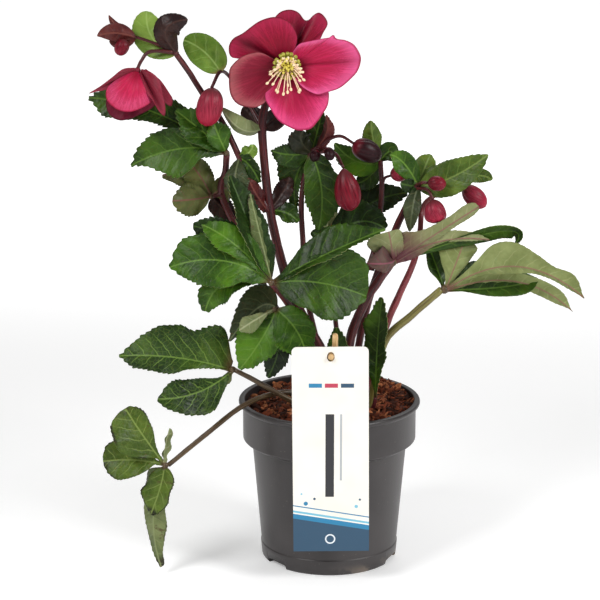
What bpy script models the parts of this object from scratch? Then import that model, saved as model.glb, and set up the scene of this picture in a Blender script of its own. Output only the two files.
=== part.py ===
"""A potted hellebore with a plain label card, built as closed solids.

Lengths are millimetres here and metres in the mesh. +Z is up, the front is -Y,
and the origin is the centre of the pot's base on the ground.
"""
import math
import random
from collections import namedtuple

import bpy
from mathutils import Vector

MM = 0.001

# A nursery pot 13 cm across the lip
LIP_RADIUS = 65.0
POT_HEIGHT = 117.0
LIP_HEIGHT = 3.2
COLLAR_RADIUS = 61.8
COLLAR_BOTTOM = 84.0
BODY_TOP_RADIUS = 55.2
BODY_TOP = 80.0
BASE_RADIUS = 48.5
WALL = 1.4
FLOOR = 2.4
POT_SIDES = 40
DRAIN_NOTCH_ANGLES = (-52.0, 68.0, 188.0)
DRAIN_NOTCH_WIDTH = 22.0
DRAIN_NOTCH_HEIGHT = 4.5

SOIL_TOP = 109.5
SOIL_LUMP = 2.2
SOIL_MOUND = 5.5
ROOT_DEPTH = 16.0
HOLE_PLAY = 0.8

CARD_WIDTH = 52.6
CARD_HEIGHT = 148.0
CARD_THICKNESS = 0.8
CARD_CORNER = 5.0
CARD_BOTTOM = 26.0
CARD_FRONT = 67.2
CARD_LEAN = 0.5
CARD_HOLE = (2.6, 3.5)
CARD_HOLE_HEIGHT = 167.0
STICK_RADIUS = 2.0
PEG_RADIUS = 1.5

BLADE_THICKNESS = 0.8
SEPAL_THICKNESS = 0.9
TOOTH = 0.13
JOINT_GAP = 0.4
STEM_SIDES = 6

# The place the plant is drawn from: the layout below is read along its sight lines
EYE = Vector((-21.0, -1600.0, 615.0))

TOP = 1
UNDER = -1

# A place is (across, up, toward): the first two on the upright plane through the
# pot's axis, the third how far in front of that plane the place stands
Stem = namedtuple("Stem", "places start_radius end_radius")
Blade = namedtuple("Blade", "base middle tip half_width tilt fold side widest")
Leaf = namedtuple("Leaf", "hub hub_radius blades")
Bud = namedtuple("Bud", "base tip radius")

# Where every grown piece stands. A place is (x, z, toward) as seen() reads it.
STEMS = {
    "stem_main": [
        Stem([(13, 109, 4), (0, 141, 4), (-12, 164, 4), (-26, 191, 5), (-34, 217, 6), (-42, 254, 8), (-46, 290, 8), (-47, 320, 6), (-40, 341, 2), (-31, 355, 8)], 4.2, 2.6),
        Stem([(-44, 254, 8), (-54, 276, 9), (-63, 292, 10), (-75, 317, 5), (-89, 338, 5), (-97, 351, 10), (-106, 364, 16)], 2.4, 1.9),
        Stem([(-105, 364, 16), (-119, 371, 14), (-133, 376, 12)], 1.3, 1.0),
        Stem([(-108, 366, 16), (-124, 366, 18), (-130, 360, 20), (-133, 354, 20)], 1.3, 1.2),
        Stem([(-47, 313, 6), (-58, 332, -4), (-69, 348, -2), (-76, 352, 10), (-82, 341, 18)], 1.5, 1.2),
    ],
    "stem_middle": [
        Stem([(5, 117, -16), (-8, 156, -14), (-17, 197, -12), (-19, 233, -10), (-20, 262, -8), (-15, 292, -6), (-8, 299, -4)], 2.3, 1.8),
        Stem([(-10, 296, -4), (-2, 304, -2), (7, 307, 0), (16, 302, 2)], 1.4, 1.0),
        Stem([(-10, 296, -4), (3, 295, -2), (9, 285, 7)], 1.3, 1.1),
        Stem([(-10, 296, -4), (-8, 298, 1)], 1.2, 1.0),
        Stem([(-8, 297, -4), (-3, 299, 7)], 1.2, 1.0),
    ],
    "stem_right": [
        Stem([(17, 120, -10), (20, 167, -9), (26, 204, -8), (39, 236, -6), (49, 253, -4), (61, 272, -2)], 3.0, 2.4),
        Stem([(28, 211, -8), (33, 236, -14), (36, 265, -16), (35, 290, -16)], 2.2, 1.7),
        Stem([(36, 270, -16), (38, 277, -14), (42, 279, -12)], 1.1, 0.9),
        Stem([(61, 272, -2), (64, 274, 9), (68, 274, 10)], 1.3, 0.9),
        Stem([(61, 270, -2), (68, 269, 9), (72, 262, 13)], 1.3, 1.0),
    ],
    "stem_red": [
        Stem([(27, 116, -2), (39, 167, 0), (50, 195, 2), (59, 217, 2), (63, 236, 0), (64, 252, -4), (68, 261, -12), (80, 269, -17), (91, 276, -17), (90, 273, -14), (93, 271, -12)], 3.1, 1.1),
    ],
    "petiole_spreading": [
        Stem([(16, 109, 14), (17, 156, 15), (26, 186, 17), (35, 203, 19), (43, 216, 20)], 3.8, 3.0),
    ],
    "petiole_right": [
        Stem([(30, 112, 8), (40, 161, 12), (64, 183, 14), (79, 197, 15)], 2.8, 2.6),
    ],
    "petiole_left_low": [
        Stem([(-10, 112, 10), (-32, 121, 18), (-60, 112, 32), (-89, 89, 42), (-116, 66, 50)], 2.2, 1.7),
    ],
    "petiole_left_middle": [
        Stem([(-13, 104, 24), (-33, 118, 27), (-48, 127, 29), (-68, 138, 30)], 2.2, 1.7),
    ],
    "petiole_centre": [
        Stem([(3, 103, 28), (0, 126, 28), (-12, 152, 28), (-26, 180, 27), (-35, 194, 33), (-41, 201, 38)], 2.6, 2.1),
    ],
    "petiole_front": [
        Stem([(-5, 107, 20), (-11, 126, 19), (-21, 151, 18), (-31, 167, 24), (-36, 179, 28)], 2.3, 1.9),
    ],
    "petiole_upper_left": [
        Stem([(-4, 117, -8), (-28, 164, -6), (-48, 202, -2), (-63, 236, 2), (-76, 266, 5), (-73, 282, 5), (-70, 290, 10)], 2.6, 1.6),
        Stem([(-76, 266, 5), (-82, 264, 7)], 1.7, 1.4),
    ],
    "shoot_low_right": [
        Stem([(31, 106, 14), (32, 112, 15), (33, 117, 15)], 1.6, 1.3),
    ],
    "shoot_low_middle": [
        Stem([(3, 109, 8), (3, 112, 10), (3, 114, 12)], 1.6, 1.3),
    ],
    "petiole_back": [
        Stem([(11, 123, -24), (5, 167, -22), (2, 204, -20), (0, 233, -18)], 2.1, 1.6),
    ],
}

LEAVES = {
    "leaf_left_low": Leaf((-118, 66, 50), 2.6, [
        Blade((-120, 69, 50), (-129, 85, 54), (-141, 108, 50), 14, 10, 8, TOP, 0.60),
        Blade((-121, 68, 50), (-140, 69, 52), (-161, 66, 50), 11, 5, 8, TOP, 0.60),
        Blade((-120, 70, 50), (-117, 81, 48), (-114, 94, 44), 4, 60, 10, UNDER, 0.5),
        Blade((-119, 63, 50), (-118, 43, 52), (-125, 30, 52), 9, 30, 20, TOP, 0.55),
        Blade((-118, 62, 50), (-126, 32, 48), (-123, -12, 46), 9, 52, 30, UNDER, 0.45),
    ]),
    "leaf_left_middle": Leaf((-69, 138, 30), 2.6, [
        Blade((-71, 138, 30), (-105, 145, 32), (-150, 152, 26), 18, 22, 10, TOP, 0.55),
        Blade((-72, 135, 31), (-95, 123, 38), (-123, 115, 36), 15, 18, 8, TOP, 0.55),
        Blade((-70, 135, 31), (-77, 128, 30), (-90, 125, 26), 4, 45, 10, UNDER, 0.5),
    ]),
    "leaf_centre": Leaf((-41, 202, 38), 2.8, [
        Blade((-45, 210, 38), (-65, 229, 42), (-91, 244, 36), 12, 25, 8, TOP, 0.55),
        Blade((-46, 208, 38), (-76, 218, 46), (-113, 213, 40), 15, 15, 8, TOP, 0.55),
        Blade((-48, 206, 38), (-73, 202, 44), (-88, 181, 38), 10, 15, 10, TOP, 0.5),
        Blade((-46, 210, 36), (-74, 224, 34), (-104, 230, 28), 11, 0, 8, TOP, 0.55),
        Blade((-45, 210, 35), (-55, 244, 32), (-70, 282, 26), 11, 38, 30, TOP, 0.5),
        Blade((-37, 203, 38), (-6, 220, 42), (39, 241, 34), 14, 38, 24, TOP, 0.5),
        Blade((-36, 201, 39), (-5, 196, 46), (29, 186, 42), 23, 12, 6, TOP, 0.52),
    ]),
    "leaf_front": Leaf((-39, 183, 31), 2.4, [
        Blade((-34, 183, 31), (-52, 171, 32), (-70, 144, 28), 15, 18, 10, UNDER, 0.5),
        Blade((-34, 179, 32), (-47, 160, 40), (-65, 138, 38), 15, 10, 8, TOP, 0.55),
        Blade((-32, 178, 33), (-21, 161, 41), (-19, 141, 40), 18, 8, 6, TOP, 0.55),
        Blade((-33, 178, 31), (-36, 156, 35), (-44, 132, 34), 8, 0, 10, TOP, 0.6),
    ]),
    "leaf_upper_left": Leaf((-72, 295, 12), 2.4, [
        Blade((-74, 293, 12), (-104, 296, 20), (-139, 284, 16), 18, 12, 6, TOP, 0.55),
        Blade((-75, 297, 11), (-118, 320, 4), (-167, 334, -2), 14, 5, 8, TOP, 0.6),
        Blade((-72, 298, 13), (-87, 309, 15), (-107, 325, 13), 12, 20, 14, TOP, 0.55),
        Blade((-73, 297, 14), (-77, 306, 18), (-81, 317, 16), 8, 10, 12, TOP, 0.55),
    ]),
    "leaf_olive": Leaf((-83, 264, 7), 2.2, [
        Blade((-85, 264, 8), (-96, 262, 10), (-110, 261, 8), 11, 0, 6, UNDER, 0.55),
        Blade((-84, 267, 6), (-91, 279, 2), (-100, 290, -2), 10, 10, 10, UNDER, 0.55),
        Blade((-85, 267, 6), (-98, 276, 0), (-117, 279, -4), 8, 55, 10, UNDER, 0.55),
        Blade((-83, 262, 6), (-83, 254, 4), (-76, 246, 0), 6, 10, 10, UNDER, 0.5),
    ]),
    "leaf_back": Leaf((0, 234, -18), 2.2, [
        Blade((0, 236, -18), (-3, 247, -18), (-8, 263, -18), 9, 15, 10, UNDER, 0.6),
        Blade((2, 234, -17), (20, 246, -6), (39, 241, -4), 13, 15, 14, TOP, 0.5),
        Blade((1, 236, -19), (24, 257, -24), (54, 267, -26), 11, 10, 12, TOP, 0.55),
        Blade((-2, 234, -17), (-6, 236, -14), (-13, 239, -12), 6, 0, 10, TOP, 0.5),
    ]),
    "leaf_spreading": Leaf((44, 217, 20), 3.6, [
        Blade((42, 219, 21), (37, 228, 26), (32, 236, 26), 11, 10, 20, UNDER, 0.55),
        Blade((41, 218, 24), (35, 219, 31), (25, 218, 33), 6, -15, 20, UNDER, 0.5),
        Blade((47, 219, 20), (66, 238, 22), (105, 257, 18), 9, -30, 10, UNDER, 0.55),
        Blade((47, 218, 20), (77, 232, 20), (112, 233, 16), 9, -20, 8, UNDER, 0.5),
        Blade((105, 233, 17), (119, 239, 14), (129, 228, 12), 6, -40, 12, TOP, 0.5),
    ]),
    "leaf_right": Leaf((81, 197, 15), 3.4, [
        Blade((83, 199, 15), (94, 217, 16), (110, 231, 10), 15, -12, 8, UNDER, 0.6),
        Blade((79, 200, 14), (75, 214, 8), (69, 229, 4), 7, 20, 25, TOP, 0.55),
        Blade((84, 197, 16), (133, 211, 26), (179, 191, 24), 17, -30, 10, UNDER, 0.55),
        Blade((84, 196, 15), (124, 199, 10), (147, 205, 4), 9, 20, 15, TOP, 0.6),
        Blade((84, 195, 14), (141, 202, 8), (172, 181, 4), 12, -25, 10, UNDER, 0.65),
        Blade((83, 199, 13), (99, 207, 0), (111, 216, -8), 8, 10, 10, TOP, 0.6),
    ]),
    "leaf_low_right": Leaf((33, 117, 15), 1.9, [
        Blade((33, 120, 15), (34, 156, 22), (38, 189, 22), 7, 30, 20, TOP, 0.6),
    ]),
    "leaf_low_middle": Leaf((3, 114, 12), 1.9, [
        Blade((3, 117, 13), (6, 144, 22), (5, 169, 24), 8, 25, 15, TOP, 0.6),
    ]),
    "bracts_top_left": Leaf((-106, 365, 16), 2.8, [
        Blade((-108, 364, 15), (-122, 375, 8), (-126, 394, 4), 12, 0, 6, TOP, 0.55),
        Blade((-108, 367, 20), (-113, 381, 26), (-98, 388, 24), 9, 10, 22, UNDER, 0.5),
    ]),
    "bracts_flower": Leaf((-47, 313, 6), 3.6, [
        Blade((-49, 312, 9), (-61, 312, 16), (-75, 327, 12), 7, -38, 25, UNDER, 0.5),
        Blade((-45, 314, 4), (-39, 319, -2), (-33, 327, -6), 8, 20, 12, UNDER, 0.5),
        Blade((-49, 314, 3), (-54, 320, -4), (-60, 328, -8), 8, -10, 12, UNDER, 0.5),
    ]),
    "bract_bud": Leaf((-76, 352, 10), 1.4, [
        Blade((-77, 353, 9), (-88, 364, 6), (-101, 373, 2), 12, 12, 6, TOP, 0.52),
    ]),
    "bracts_fork": Leaf((-63, 291, 10), 3.0, [
        Blade((-64, 288, 13), (-66, 276, 22), (-63, 260, 20), 8, 15, 20, UNDER, 0.5),
        Blade((-61, 289, 12), (-56, 286, 16), (-49, 274, 18), 7, -25, 12, TOP, 0.5),
        Blade((-61, 292, 10), (-56, 296, 16), (-54, 301, 18), 5, 0, 12, TOP, 0.5),
    ]),
    "bracts_low_fork": Leaf((-43, 253, 8), 3.8, [
        Blade((-41, 255, 4), (-32, 269, -2), (-29, 278, -6), 6, 0, 12, UNDER, 0.5),
        Blade((-41, 252, 4), (-32, 253, 0), (-22, 246, -2), 7, 20, 15, TOP, 0.5),
        Blade((-45, 257, 12), (-52, 266, 18), (-57, 277, 20), 6, 20, 12, UNDER, 0.5),
    ]),
    "bracts_middle": Leaf((-13, 295, -6), 2.6, [
        Blade((-17, 295, -6), (-28, 283, -2), (-39, 301, 0), 9, -12, 10, TOP, 0.45),
        Blade((-15, 293, -7), (-25, 276, -10), (-22, 256, -12), 10, 25, 16, TOP, 0.5),
        Blade((-11, 293, -7), (-6, 269, -4), (-8, 240, -8), 13, 12, 12, TOP, 0.45),
        Blade((-16, 297, -4), (-20, 303, 2), (-19, 311, 4), 8, 10, 20, UNDER, 0.5),
        Blade((-11, 299, -8), (-9, 310, -12), (-6, 324, -14), 8, 20, 15, TOP, 0.5),
        Blade((-8, 301, -4), (-3, 308, -2), (-3, 322, -2), 4, 20, 30, UNDER, 0.5),
    ]),
    "bracts_back": Leaf((35, 289, -16), 2.4, [
        Blade((35, 292, -15), (30, 303, -12), (28, 318, -10), 7, 15, 20, UNDER, 0.55),
        Blade((33, 289, -17), (19, 289, -22), (3, 302, -24), 10, -15, 10, TOP, 0.5),
        Blade((34, 286, -17), (26, 277, -24), (17, 274, -26), 8, 10, 10, TOP, 0.5),
        Blade((37, 290, -16), (41, 296, -16), (44, 292, -14), 7, 0, 14, TOP, 0.5),
    ]),
    "bracts_right": Leaf((61, 272, -2), 3.2, [
        Blade((63, 273, -2), (83, 277, 3), (109, 293, 2), 14, 8, 6, TOP, 0.5),
        Blade((61, 274, -4), (66, 285, -10), (70, 294, -14), 8, 20, 12, TOP, 0.5),
        Blade((59, 274, -3), (51, 285, -2), (40, 292, -2), 10, 5, 12, TOP, 0.5),
        Blade((59, 272, -2), (55, 272, 0), (49, 274, 0), 5, 0, 10, TOP, 0.5),
        Blade((60, 269, 0), (58, 257, 5), (56, 239, 7), 6, 15, 15, TOP, 0.5),
    ]),
    "bract_far_right": Leaf((91, 276, -17), 1.4, [
        Blade((93, 277, -18), (104, 279, -20), (113, 276, -19), 5, 0, 8, TOP, 0.5),
    ]),
    "bracts_small_left": Leaf((-134, 376, 12), 1.8, [
        Blade((-135, 377, 12), (-146, 381, 14), (-159, 377, 12), 6, -20, 18, UNDER, 0.5),
        Blade((-136, 378, 11), (-145, 382, 8), (-152, 391, 4), 3, 10, 15, UNDER, 0.45),
        Blade((-135, 375, 12), (-143, 373, 10), (-152, 373, 8), 5, 25, 15, UNDER, 0.5),
    ]),
}

BUDS = {
    "bud_hanging_left": Bud((-81, 341, 18), (-86, 314, 20), 9.2),
    "bud_small_left": Bud((-140, 374, 16), (-147, 364, 17), 5.0),
    "bud_middle_large": Bud((9, 284, 8), (15, 254, 8), 9.4),
    "bud_dark": Bud((16, 302, 2), (35, 291, 0), 8.0),
    "bud_middle_small_a": Bud((-9, 297, 3), (-12, 289, 7), 3.8),
    "bud_middle_small_b": Bud((-2, 299, 9), (1, 290, 15), 3.8),
    "bud_back": Bud((42, 279, -12), (52, 282, -12), 6.0),
    "bud_right_upper": Bud((68, 274, 10), (81, 273, 12), 5.4),
    "bud_right_lower": Bud((72, 262, 13), (75, 245, 14), 8.0),
    "bud_far_right": Bud((94, 270, -12), (108, 259, -11), 7.6),
}

FLOWER_MAIN = Leaf((-30, 356, 14), 5.5, [
    Blade((-27, 356, 15), (-1, 357, 21), (21, 360, 20), 21, 5, 6, TOP, 0.58),
    Blade((-29, 353, 15), (-24, 331, 24), (-22, 311, 26), 23, -4, 5, TOP, 0.6),
    Blade((-32, 355, 15), (-51, 344, 24), (-65, 331, 24), 19, 8, 5, TOP, 0.6),
    Blade((-33, 358, 14), (-48, 370, 18), (-65, 379, 16), 23, 4, 8, TOP, 0.62),
    Blade((-29, 359, 13), (-22, 378, 10), (-17, 394, 8), 21, -6, 10, TOP, 0.62),
])

FLOWER_LEFT = Leaf((-133, 353, 20), 3.2, [
    Blade((-133, 353, 22), (-139, 339, 32), (-141, 327, 30), 15, -5, 14, UNDER, 0.62),
    Blade((-134, 353, 20), (-151, 349, 22), (-168, 344, 20), 9, 52, 14, UNDER, 0.5),
    Blade((-131, 353, 21), (-122, 341, 26), (-116, 327, 22), 10, 30, 14, UNDER, 0.5),
    Blade((-131, 353, 18), (-118, 346, 10), (-109, 335, 4), 11, 30, 14, UNDER, 0.5),
    Blade((-133, 352, 16), (-143, 335, 6), (-146, 319, 6), 15, 0, 14, TOP, 0.6),
])


# Which sprays of small leaves grow out of which stem
BRACTS_ON = {
    "stem_main": ("bracts_flower", "bracts_fork", "bracts_low_fork", "bracts_top_left", "bract_bud",
                  "bracts_small_left"),
    "stem_middle": ("bracts_middle",),
    "stem_right": ("bracts_right", "bracts_back"),
    "stem_red": ("bract_far_right",),
    "shoot_low_right": ("leaf_low_right",),
    "shoot_low_middle": ("leaf_low_middle",),
}


def seen(place):
    """The point that stands at this place when looked at from EYE."""
    across, up, toward = place
    share = 1.0 + toward / EYE.y
    return Vector((EYE.x + (across - EYE.x) * share, -toward, EYE.z + (up - EYE.z) * share))


def new_object(name, points, faces, slot):
    mesh = bpy.data.meshes.new(name)
    mesh.from_pydata([tuple(MM * c for c in point) for point in points], [], faces)
    mesh.validate()
    mesh.materials.append(material(slot))
    obj = bpy.data.objects.new(name, mesh)
    bpy.context.scene.collection.objects.link(obj)
    return obj


def material(slot):
    return bpy.data.materials.get(slot) or bpy.data.materials.new(slot)


def combine(base, parts, operation):
    """Unites the base with the parts, or cuts them out of it, and removes the parts."""
    if not parts:
        return base
    group = bpy.data.collections.new("parts of " + base.name)
    bpy.context.scene.collection.children.link(group)
    for part in parts:
        bpy.context.scene.collection.objects.unlink(part)
        group.objects.link(part)
    modifier = base.modifiers.new("combine", "BOOLEAN")
    modifier.operation = operation
    modifier.solver = "MANIFOLD"
    modifier.operand_type = "COLLECTION"
    modifier.collection = group
    bpy.context.view_layer.update()
    shape = base.evaluated_get(bpy.context.evaluated_depsgraph_get())
    solid = bpy.data.meshes.new_from_object(shape)
    base.modifiers.clear()
    base.data = solid
    for part in parts:
        bpy.data.objects.remove(part)
    bpy.data.collections.remove(group)
    return base


def spline(points, steps):
    """A smooth row of points through the given ones, `steps` to each stretch."""
    ends = [2 * points[0] - points[1]] + list(points) + [2 * points[-1] - points[-2]]
    row = []
    for i in range(1, len(ends) - 2):
        before, start, end, after = ends[i - 1:i + 3]
        for step in range(steps):
            t = step / steps
            row.append(0.5 * (2 * start + t * (end - before)
                              + t * t * (2 * before - 5 * start + 4 * end - after)
                              + t ** 3 * (3 * start - before - 3 * end + after)))
    row.append(points[-1].copy())
    return row


def tube(name, line, radii, sides, slot):
    """A round rod along a line, closed at both ends."""
    points = []
    faces = []
    side = Vector((1.0, 0.0, 0.0))
    for i, centre in enumerate(line):
        along = (line[min(i + 1, len(line) - 1)] - line[max(i - 1, 0)]).normalized()
        side = side - side.dot(along) * along
        if side.length < 0.1:
            side = along.orthogonal()
        side.normalize()
        up = along.cross(side)
        for k in range(sides):
            turn = 2 * math.pi * k / sides
            points.append(centre + radii[i] * (math.cos(turn) * side + math.sin(turn) * up))
    for i in range(len(line) - 1):
        for k in range(sides):
            near = i * sides + k
            far = i * sides + (k + 1) % sides
            faces.append((near, far, far + sides, near + sides))
    faces.append(tuple(reversed(range(sides))))
    faces.append(tuple(range(len(points) - sides, len(points))))
    return new_object(name, points, faces, slot)


def ball(name, centre, radius, slot, sides=6, rings=4):
    """A faceted ball."""
    points = [centre + Vector((0.0, 0.0, radius))]
    faces = []
    for i in range(1, rings):
        polar = math.pi * i / rings
        for k in range(sides):
            turn = 2 * math.pi * k / sides
            points.append(centre + radius * Vector((math.sin(polar) * math.cos(turn),
                                                    math.sin(polar) * math.sin(turn), math.cos(polar))))
    points.append(centre - Vector((0.0, 0.0, radius)))
    last = len(points) - 1
    for k in range(sides):
        beside = (k + 1) % sides
        faces.append((0, 1 + k, 1 + beside))
        for i in range(rings - 2):
            row = 1 + i * sides
            faces.append((row + k, row + sides + k, row + sides + beside, row + beside))
        faces.append((last, last - sides + beside, last - sides + k))
    return new_object(name, points, faces, slot)


def width_at(t, widest):
    """Share of a blade's full half width at a share of its length."""
    fall = 0.8
    rise = fall * widest / (1.0 - widest)
    peak = widest ** rise * (1.0 - widest) ** fall
    return t ** rise * (1.0 - t) ** fall / peak


def blade_frame(blade, t):
    """Centre, sideways and top-side directions of a blade at a share of its length."""
    base, middle, tip = (seen(place) for place in (blade.base, blade.middle, blade.tip))
    bend = 2 * middle - 0.5 * (base + tip)
    centre = (1 - t) ** 2 * base + 2 * t * (1 - t) * bend + t * t * tip
    along = ((1 - t) * (bend - base) + t * (tip - bend)).normalized()
    chord = (tip - base).normalized()
    view = (EYE - middle).normalized()
    facing = (view - view.dot(along) * along).normalized()
    across = facing.cross(along)
    if facing.cross(chord).z < 0.0:
        across = -across
    tilt = math.radians(blade.tilt)
    face = math.cos(tilt) * facing + math.sin(tilt) * across
    side = math.cos(tilt) * across - math.sin(tilt) * facing
    return centre, side, face * blade.side


def blade_solid(name, blade, slot, thickness=BLADE_THICKNESS, toothed=True):
    """A leaflet or sepal: a thin folded sheet with a rib and toothed edges."""
    rows = 9 if blade.half_width >= 12 else 6 if blade.half_width >= 8 else 4
    if not toothed:
        rows = 6
    columns = 4 if blade.half_width >= 20 else 2
    upper = []
    lower = []
    for i in range(rows + 1):
        t = i / rows
        centre, side, face = blade_frame(blade, t)
        half = max(blade.half_width * width_at(t, blade.widest), 1.3 if i == 0 else 0.55)
        if toothed and 0 < i < rows:
            half *= 1.0 + TOOTH if i % 2 else 1.0 - TOOTH
        for j in range(columns + 1):
            u = 2.0 * j / columns - 1.0
            lift = math.tan(math.radians(blade.fold)) * half * abs(u) ** 1.4
            point = centre + side * half * u + face * lift
            upper.append(point + face * thickness / 2)
            lower.append(point - face * thickness / 2)
    return new_object(name, upper + lower, sheet_faces(rows, columns), slot)


def sheet_faces(rows, columns):
    """Triangles of a closed sheet, split alike on its two faces."""
    wide = columns + 1
    under = wide * (rows + 1)
    faces = []
    for i in range(rows):
        for j in range(columns):
            a = i * wide + j
            b, c, d = a + 1, a + wide + 1, a + wide
            halves = ((a, b, c), (a, c, d)) if j < columns / 2 else ((a, b, d), (b, c, d))
            for p, q, r in halves:
                faces.append((p, q, r))
                faces.append((under + r, under + q, under + p))
    rim = [j for j in range(wide)]
    rim += [i * wide + columns for i in range(1, rows + 1)]
    rim += [rows * wide + j for j in range(columns - 1, -1, -1)]
    rim += [i * wide for i in range(rows - 1, 0, -1)]
    for k, near in enumerate(rim):
        far = rim[(k + 1) % len(rim)]
        faces.append((far, near, under + near, under + far))
    return faces


def face_outward(obj):
    """Turns every face of a closed mesh outward."""
    mesh = obj.data
    volume = 0.0
    for polygon in mesh.polygons:
        corners = [mesh.vertices[i].co for i in polygon.vertices]
        for k in range(1, len(corners) - 1):
            volume += corners[0].dot(corners[k].cross(corners[k + 1]))
    if volume < 0.0:
        mesh.flip_normals()
    return obj


def make_leaf(name, leaf, slot, thickness=BLADE_THICKNESS, toothed=True):
    hub = face_outward(ball(name, seen(leaf.hub), leaf.hub_radius, slot))
    return combine(hub, leaf_blades(name, leaf, slot, thickness, toothed), "UNION")


def leaf_blades(name, leaf, slot, thickness=BLADE_THICKNESS, toothed=True, share=0.5):
    """The blades of a leaf, each drawn in to start at a share of the hub's radius."""
    blades = []
    for i, blade in enumerate(leaf.blades):
        away = (Vector(blade.base) - Vector(leaf.hub)).normalized()
        blade = blade._replace(base=tuple(Vector(leaf.hub) + share * leaf.hub_radius * away))
        blades.append(face_outward(blade_solid(f"{name} blade {i}", blade, slot, thickness, toothed)))
    return blades


def stem_line(stem, rooted):
    places = [seen(place) for place in stem.places]
    if rooted:
        foot = places[0]
        places = [foot + Vector((0.0, 0.0, rise)) for rise in (-ROOT_DEPTH, -6.0, 3.0)] + places[1:]
    return spline(places, 1)


def make_stem(name, stems, slot):
    """A rooted stem with its side stalks, its small leaves, and sockets at the joints."""
    rods = []
    for i, stem in enumerate(stems):
        line = stem_line(stem, i == 0)
        radii = [stem.start_radius + (stem.end_radius - stem.start_radius) * k / (len(line) - 1)
                 for k in range(len(line))]
        rods.append(face_outward(tube(f"{name} rod {i}", line, radii, STEM_SIDES, slot)))
    body = rods[0]
    body.name = name
    parts = rods[1:]
    for spray in BRACTS_ON.get(name, ()):
        parts += leaf_blades(spray, LEAVES[spray], slot, share=-0.3)
    combine(body, parts, "UNION")
    sockets = []
    for end, radius in joints_near([seen(s.places[-1]) for s in stems] + [seen(s.places[0]) for s in stems[1:]]):
        sockets.append(face_outward(ball("socket", end, 1.08 * (radius + JOINT_GAP), slot, 8, 6)))
    return combine(body, sockets, "DIFFERENCE")


def joints_near(ends):
    """Hubs of leaves, buds and flowers that meet one of the ends, with their radii."""
    sprays = [spray for group in BRACTS_ON.values() for spray in group]
    hubs = [(seen(leaf.hub), leaf.hub_radius) for name, leaf in LEAVES.items() if name not in sprays]
    hubs += [(seen(flower.hub), flower.hub_radius) for flower in (FLOWER_MAIN, FLOWER_LEFT)]
    hubs += [(seen(bud.base), neck_radius(bud) + 0.15) for bud in BUDS.values()]
    return [(hub, radius) for hub, radius in hubs
            if min((hub - end).length for end in ends) < radius + 3.0]


NECK_REACH = 0.8


def neck_radius(bud):
    return max(0.18 * bud.radius, 1.1)


def bud_solid(name, bud, slot):
    """A closed bud: a five-lobed drop with a neck at its stalk."""
    base, tip = seen(bud.base), seen(bud.tip)
    along = (tip - base).normalized()
    base = base - along * NECK_REACH
    length = (tip - base).length
    side = along.orthogonal().normalized()
    up = along.cross(side)
    profile = ((0.0, neck_radius(bud) / bud.radius), (0.16, 0.6), (0.45, 1.0), (0.78, 0.75), (1.0, 0.12))
    sides = 10
    points = []
    for share, width in profile:
        for k in range(sides):
            turn = 2 * math.pi * k / sides
            lobe = 1.0 if k % 2 or share == 0.0 else 0.88
            radius = bud.radius * width * lobe
            points.append(base + along * length * share
                          + radius * (math.cos(turn) * side + math.sin(turn) * up))
    faces = []
    for i in range(len(profile) - 1):
        for k in range(sides):
            near = i * sides + k
            far = i * sides + (k + 1) % sides
            faces.append((near, far, far + sides))
            faces.append((near, far + sides, near + sides))
    faces.append(tuple(reversed(range(sides))))
    faces.append(tuple(range(len(points) - sides, len(points))))
    return face_outward(new_object(name, points, faces, slot))


def make_stamens():
    """The ring of stamens and the dome of carpels they grow from."""
    chance = random.Random(4)
    centre = seen(FLOWER_MAIN.hub)
    facing = (EYE - centre).normalized()
    side = Vector((1.0, 0.0, 0.0))
    up = facing.cross(side)
    root = centre + facing * (FLOWER_MAIN.hub_radius + STAMEN_STANDOFF)
    dome = face_outward(ball("flower_main_stamens", root, STAMEN_DOME, "stamen_cream", 8, 5))
    parts = []
    for k in range(STAMEN_COUNT):
        turn = 2 * math.pi * k / STAMEN_COUNT + chance.uniform(-0.08, 0.08)
        out = math.cos(turn) * side + math.sin(turn) * up
        reach = STAMEN_REACH * (0.62 + 0.38 * max(0.0, -out.z)) * chance.uniform(0.85, 1.0)
        foot = root + out * (STAMEN_DOME - 1.2)
        middle = foot + out * reach * 0.5 + facing * 4.5
        tip = foot + out * reach + facing * chance.uniform(4.0, 6.5) - Vector((0.0, 0.0, 2.0))
        line = [foot, middle, tip]
        parts.append(face_outward(tube(f"filament {k}", line, [0.45] * len(line), 3, "stamen_cream")))
        parts.append(face_outward(ball(f"anther {k}", tip, 1.25, "stamen_cream", 4, 3)))
    return combine(dome, parts, "UNION")


STAMEN_COUNT = 14
STAMEN_REACH = 15.0
STAMEN_DOME = 4.6
STAMEN_STANDOFF = 4.4


def lathe(name, profile, sides, slot):
    """A turned solid: the profile is a closed ring of (radius, height) pairs."""
    points = []
    faces = []
    for radius, height in profile:
        for k in range(sides):
            turn = 2 * math.pi * k / sides
            points.append(Vector((radius * math.cos(turn), radius * math.sin(turn), height)))
    rings = len(profile)
    for i in range(rings - 1):
        for k in range(sides):
            beside = (k + 1) % sides
            faces.append((i * sides + k, i * sides + beside, (i + 1) * sides + beside, (i + 1) * sides + k))
    faces.append(tuple(reversed(range(sides))))
    faces.append(tuple(range((rings - 1) * sides, rings * sides)))
    return face_outward(new_object(name, points, faces, slot))


def inner_radius(height, gap):
    """Radius just inside the pot's wall at a height."""
    if height >= COLLAR_BOTTOM:
        return COLLAR_RADIUS - WALL - gap
    slope = (BODY_TOP_RADIUS - BASE_RADIUS) / BODY_TOP
    return BASE_RADIUS + slope * min(height, BODY_TOP) - WALL - gap


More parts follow.
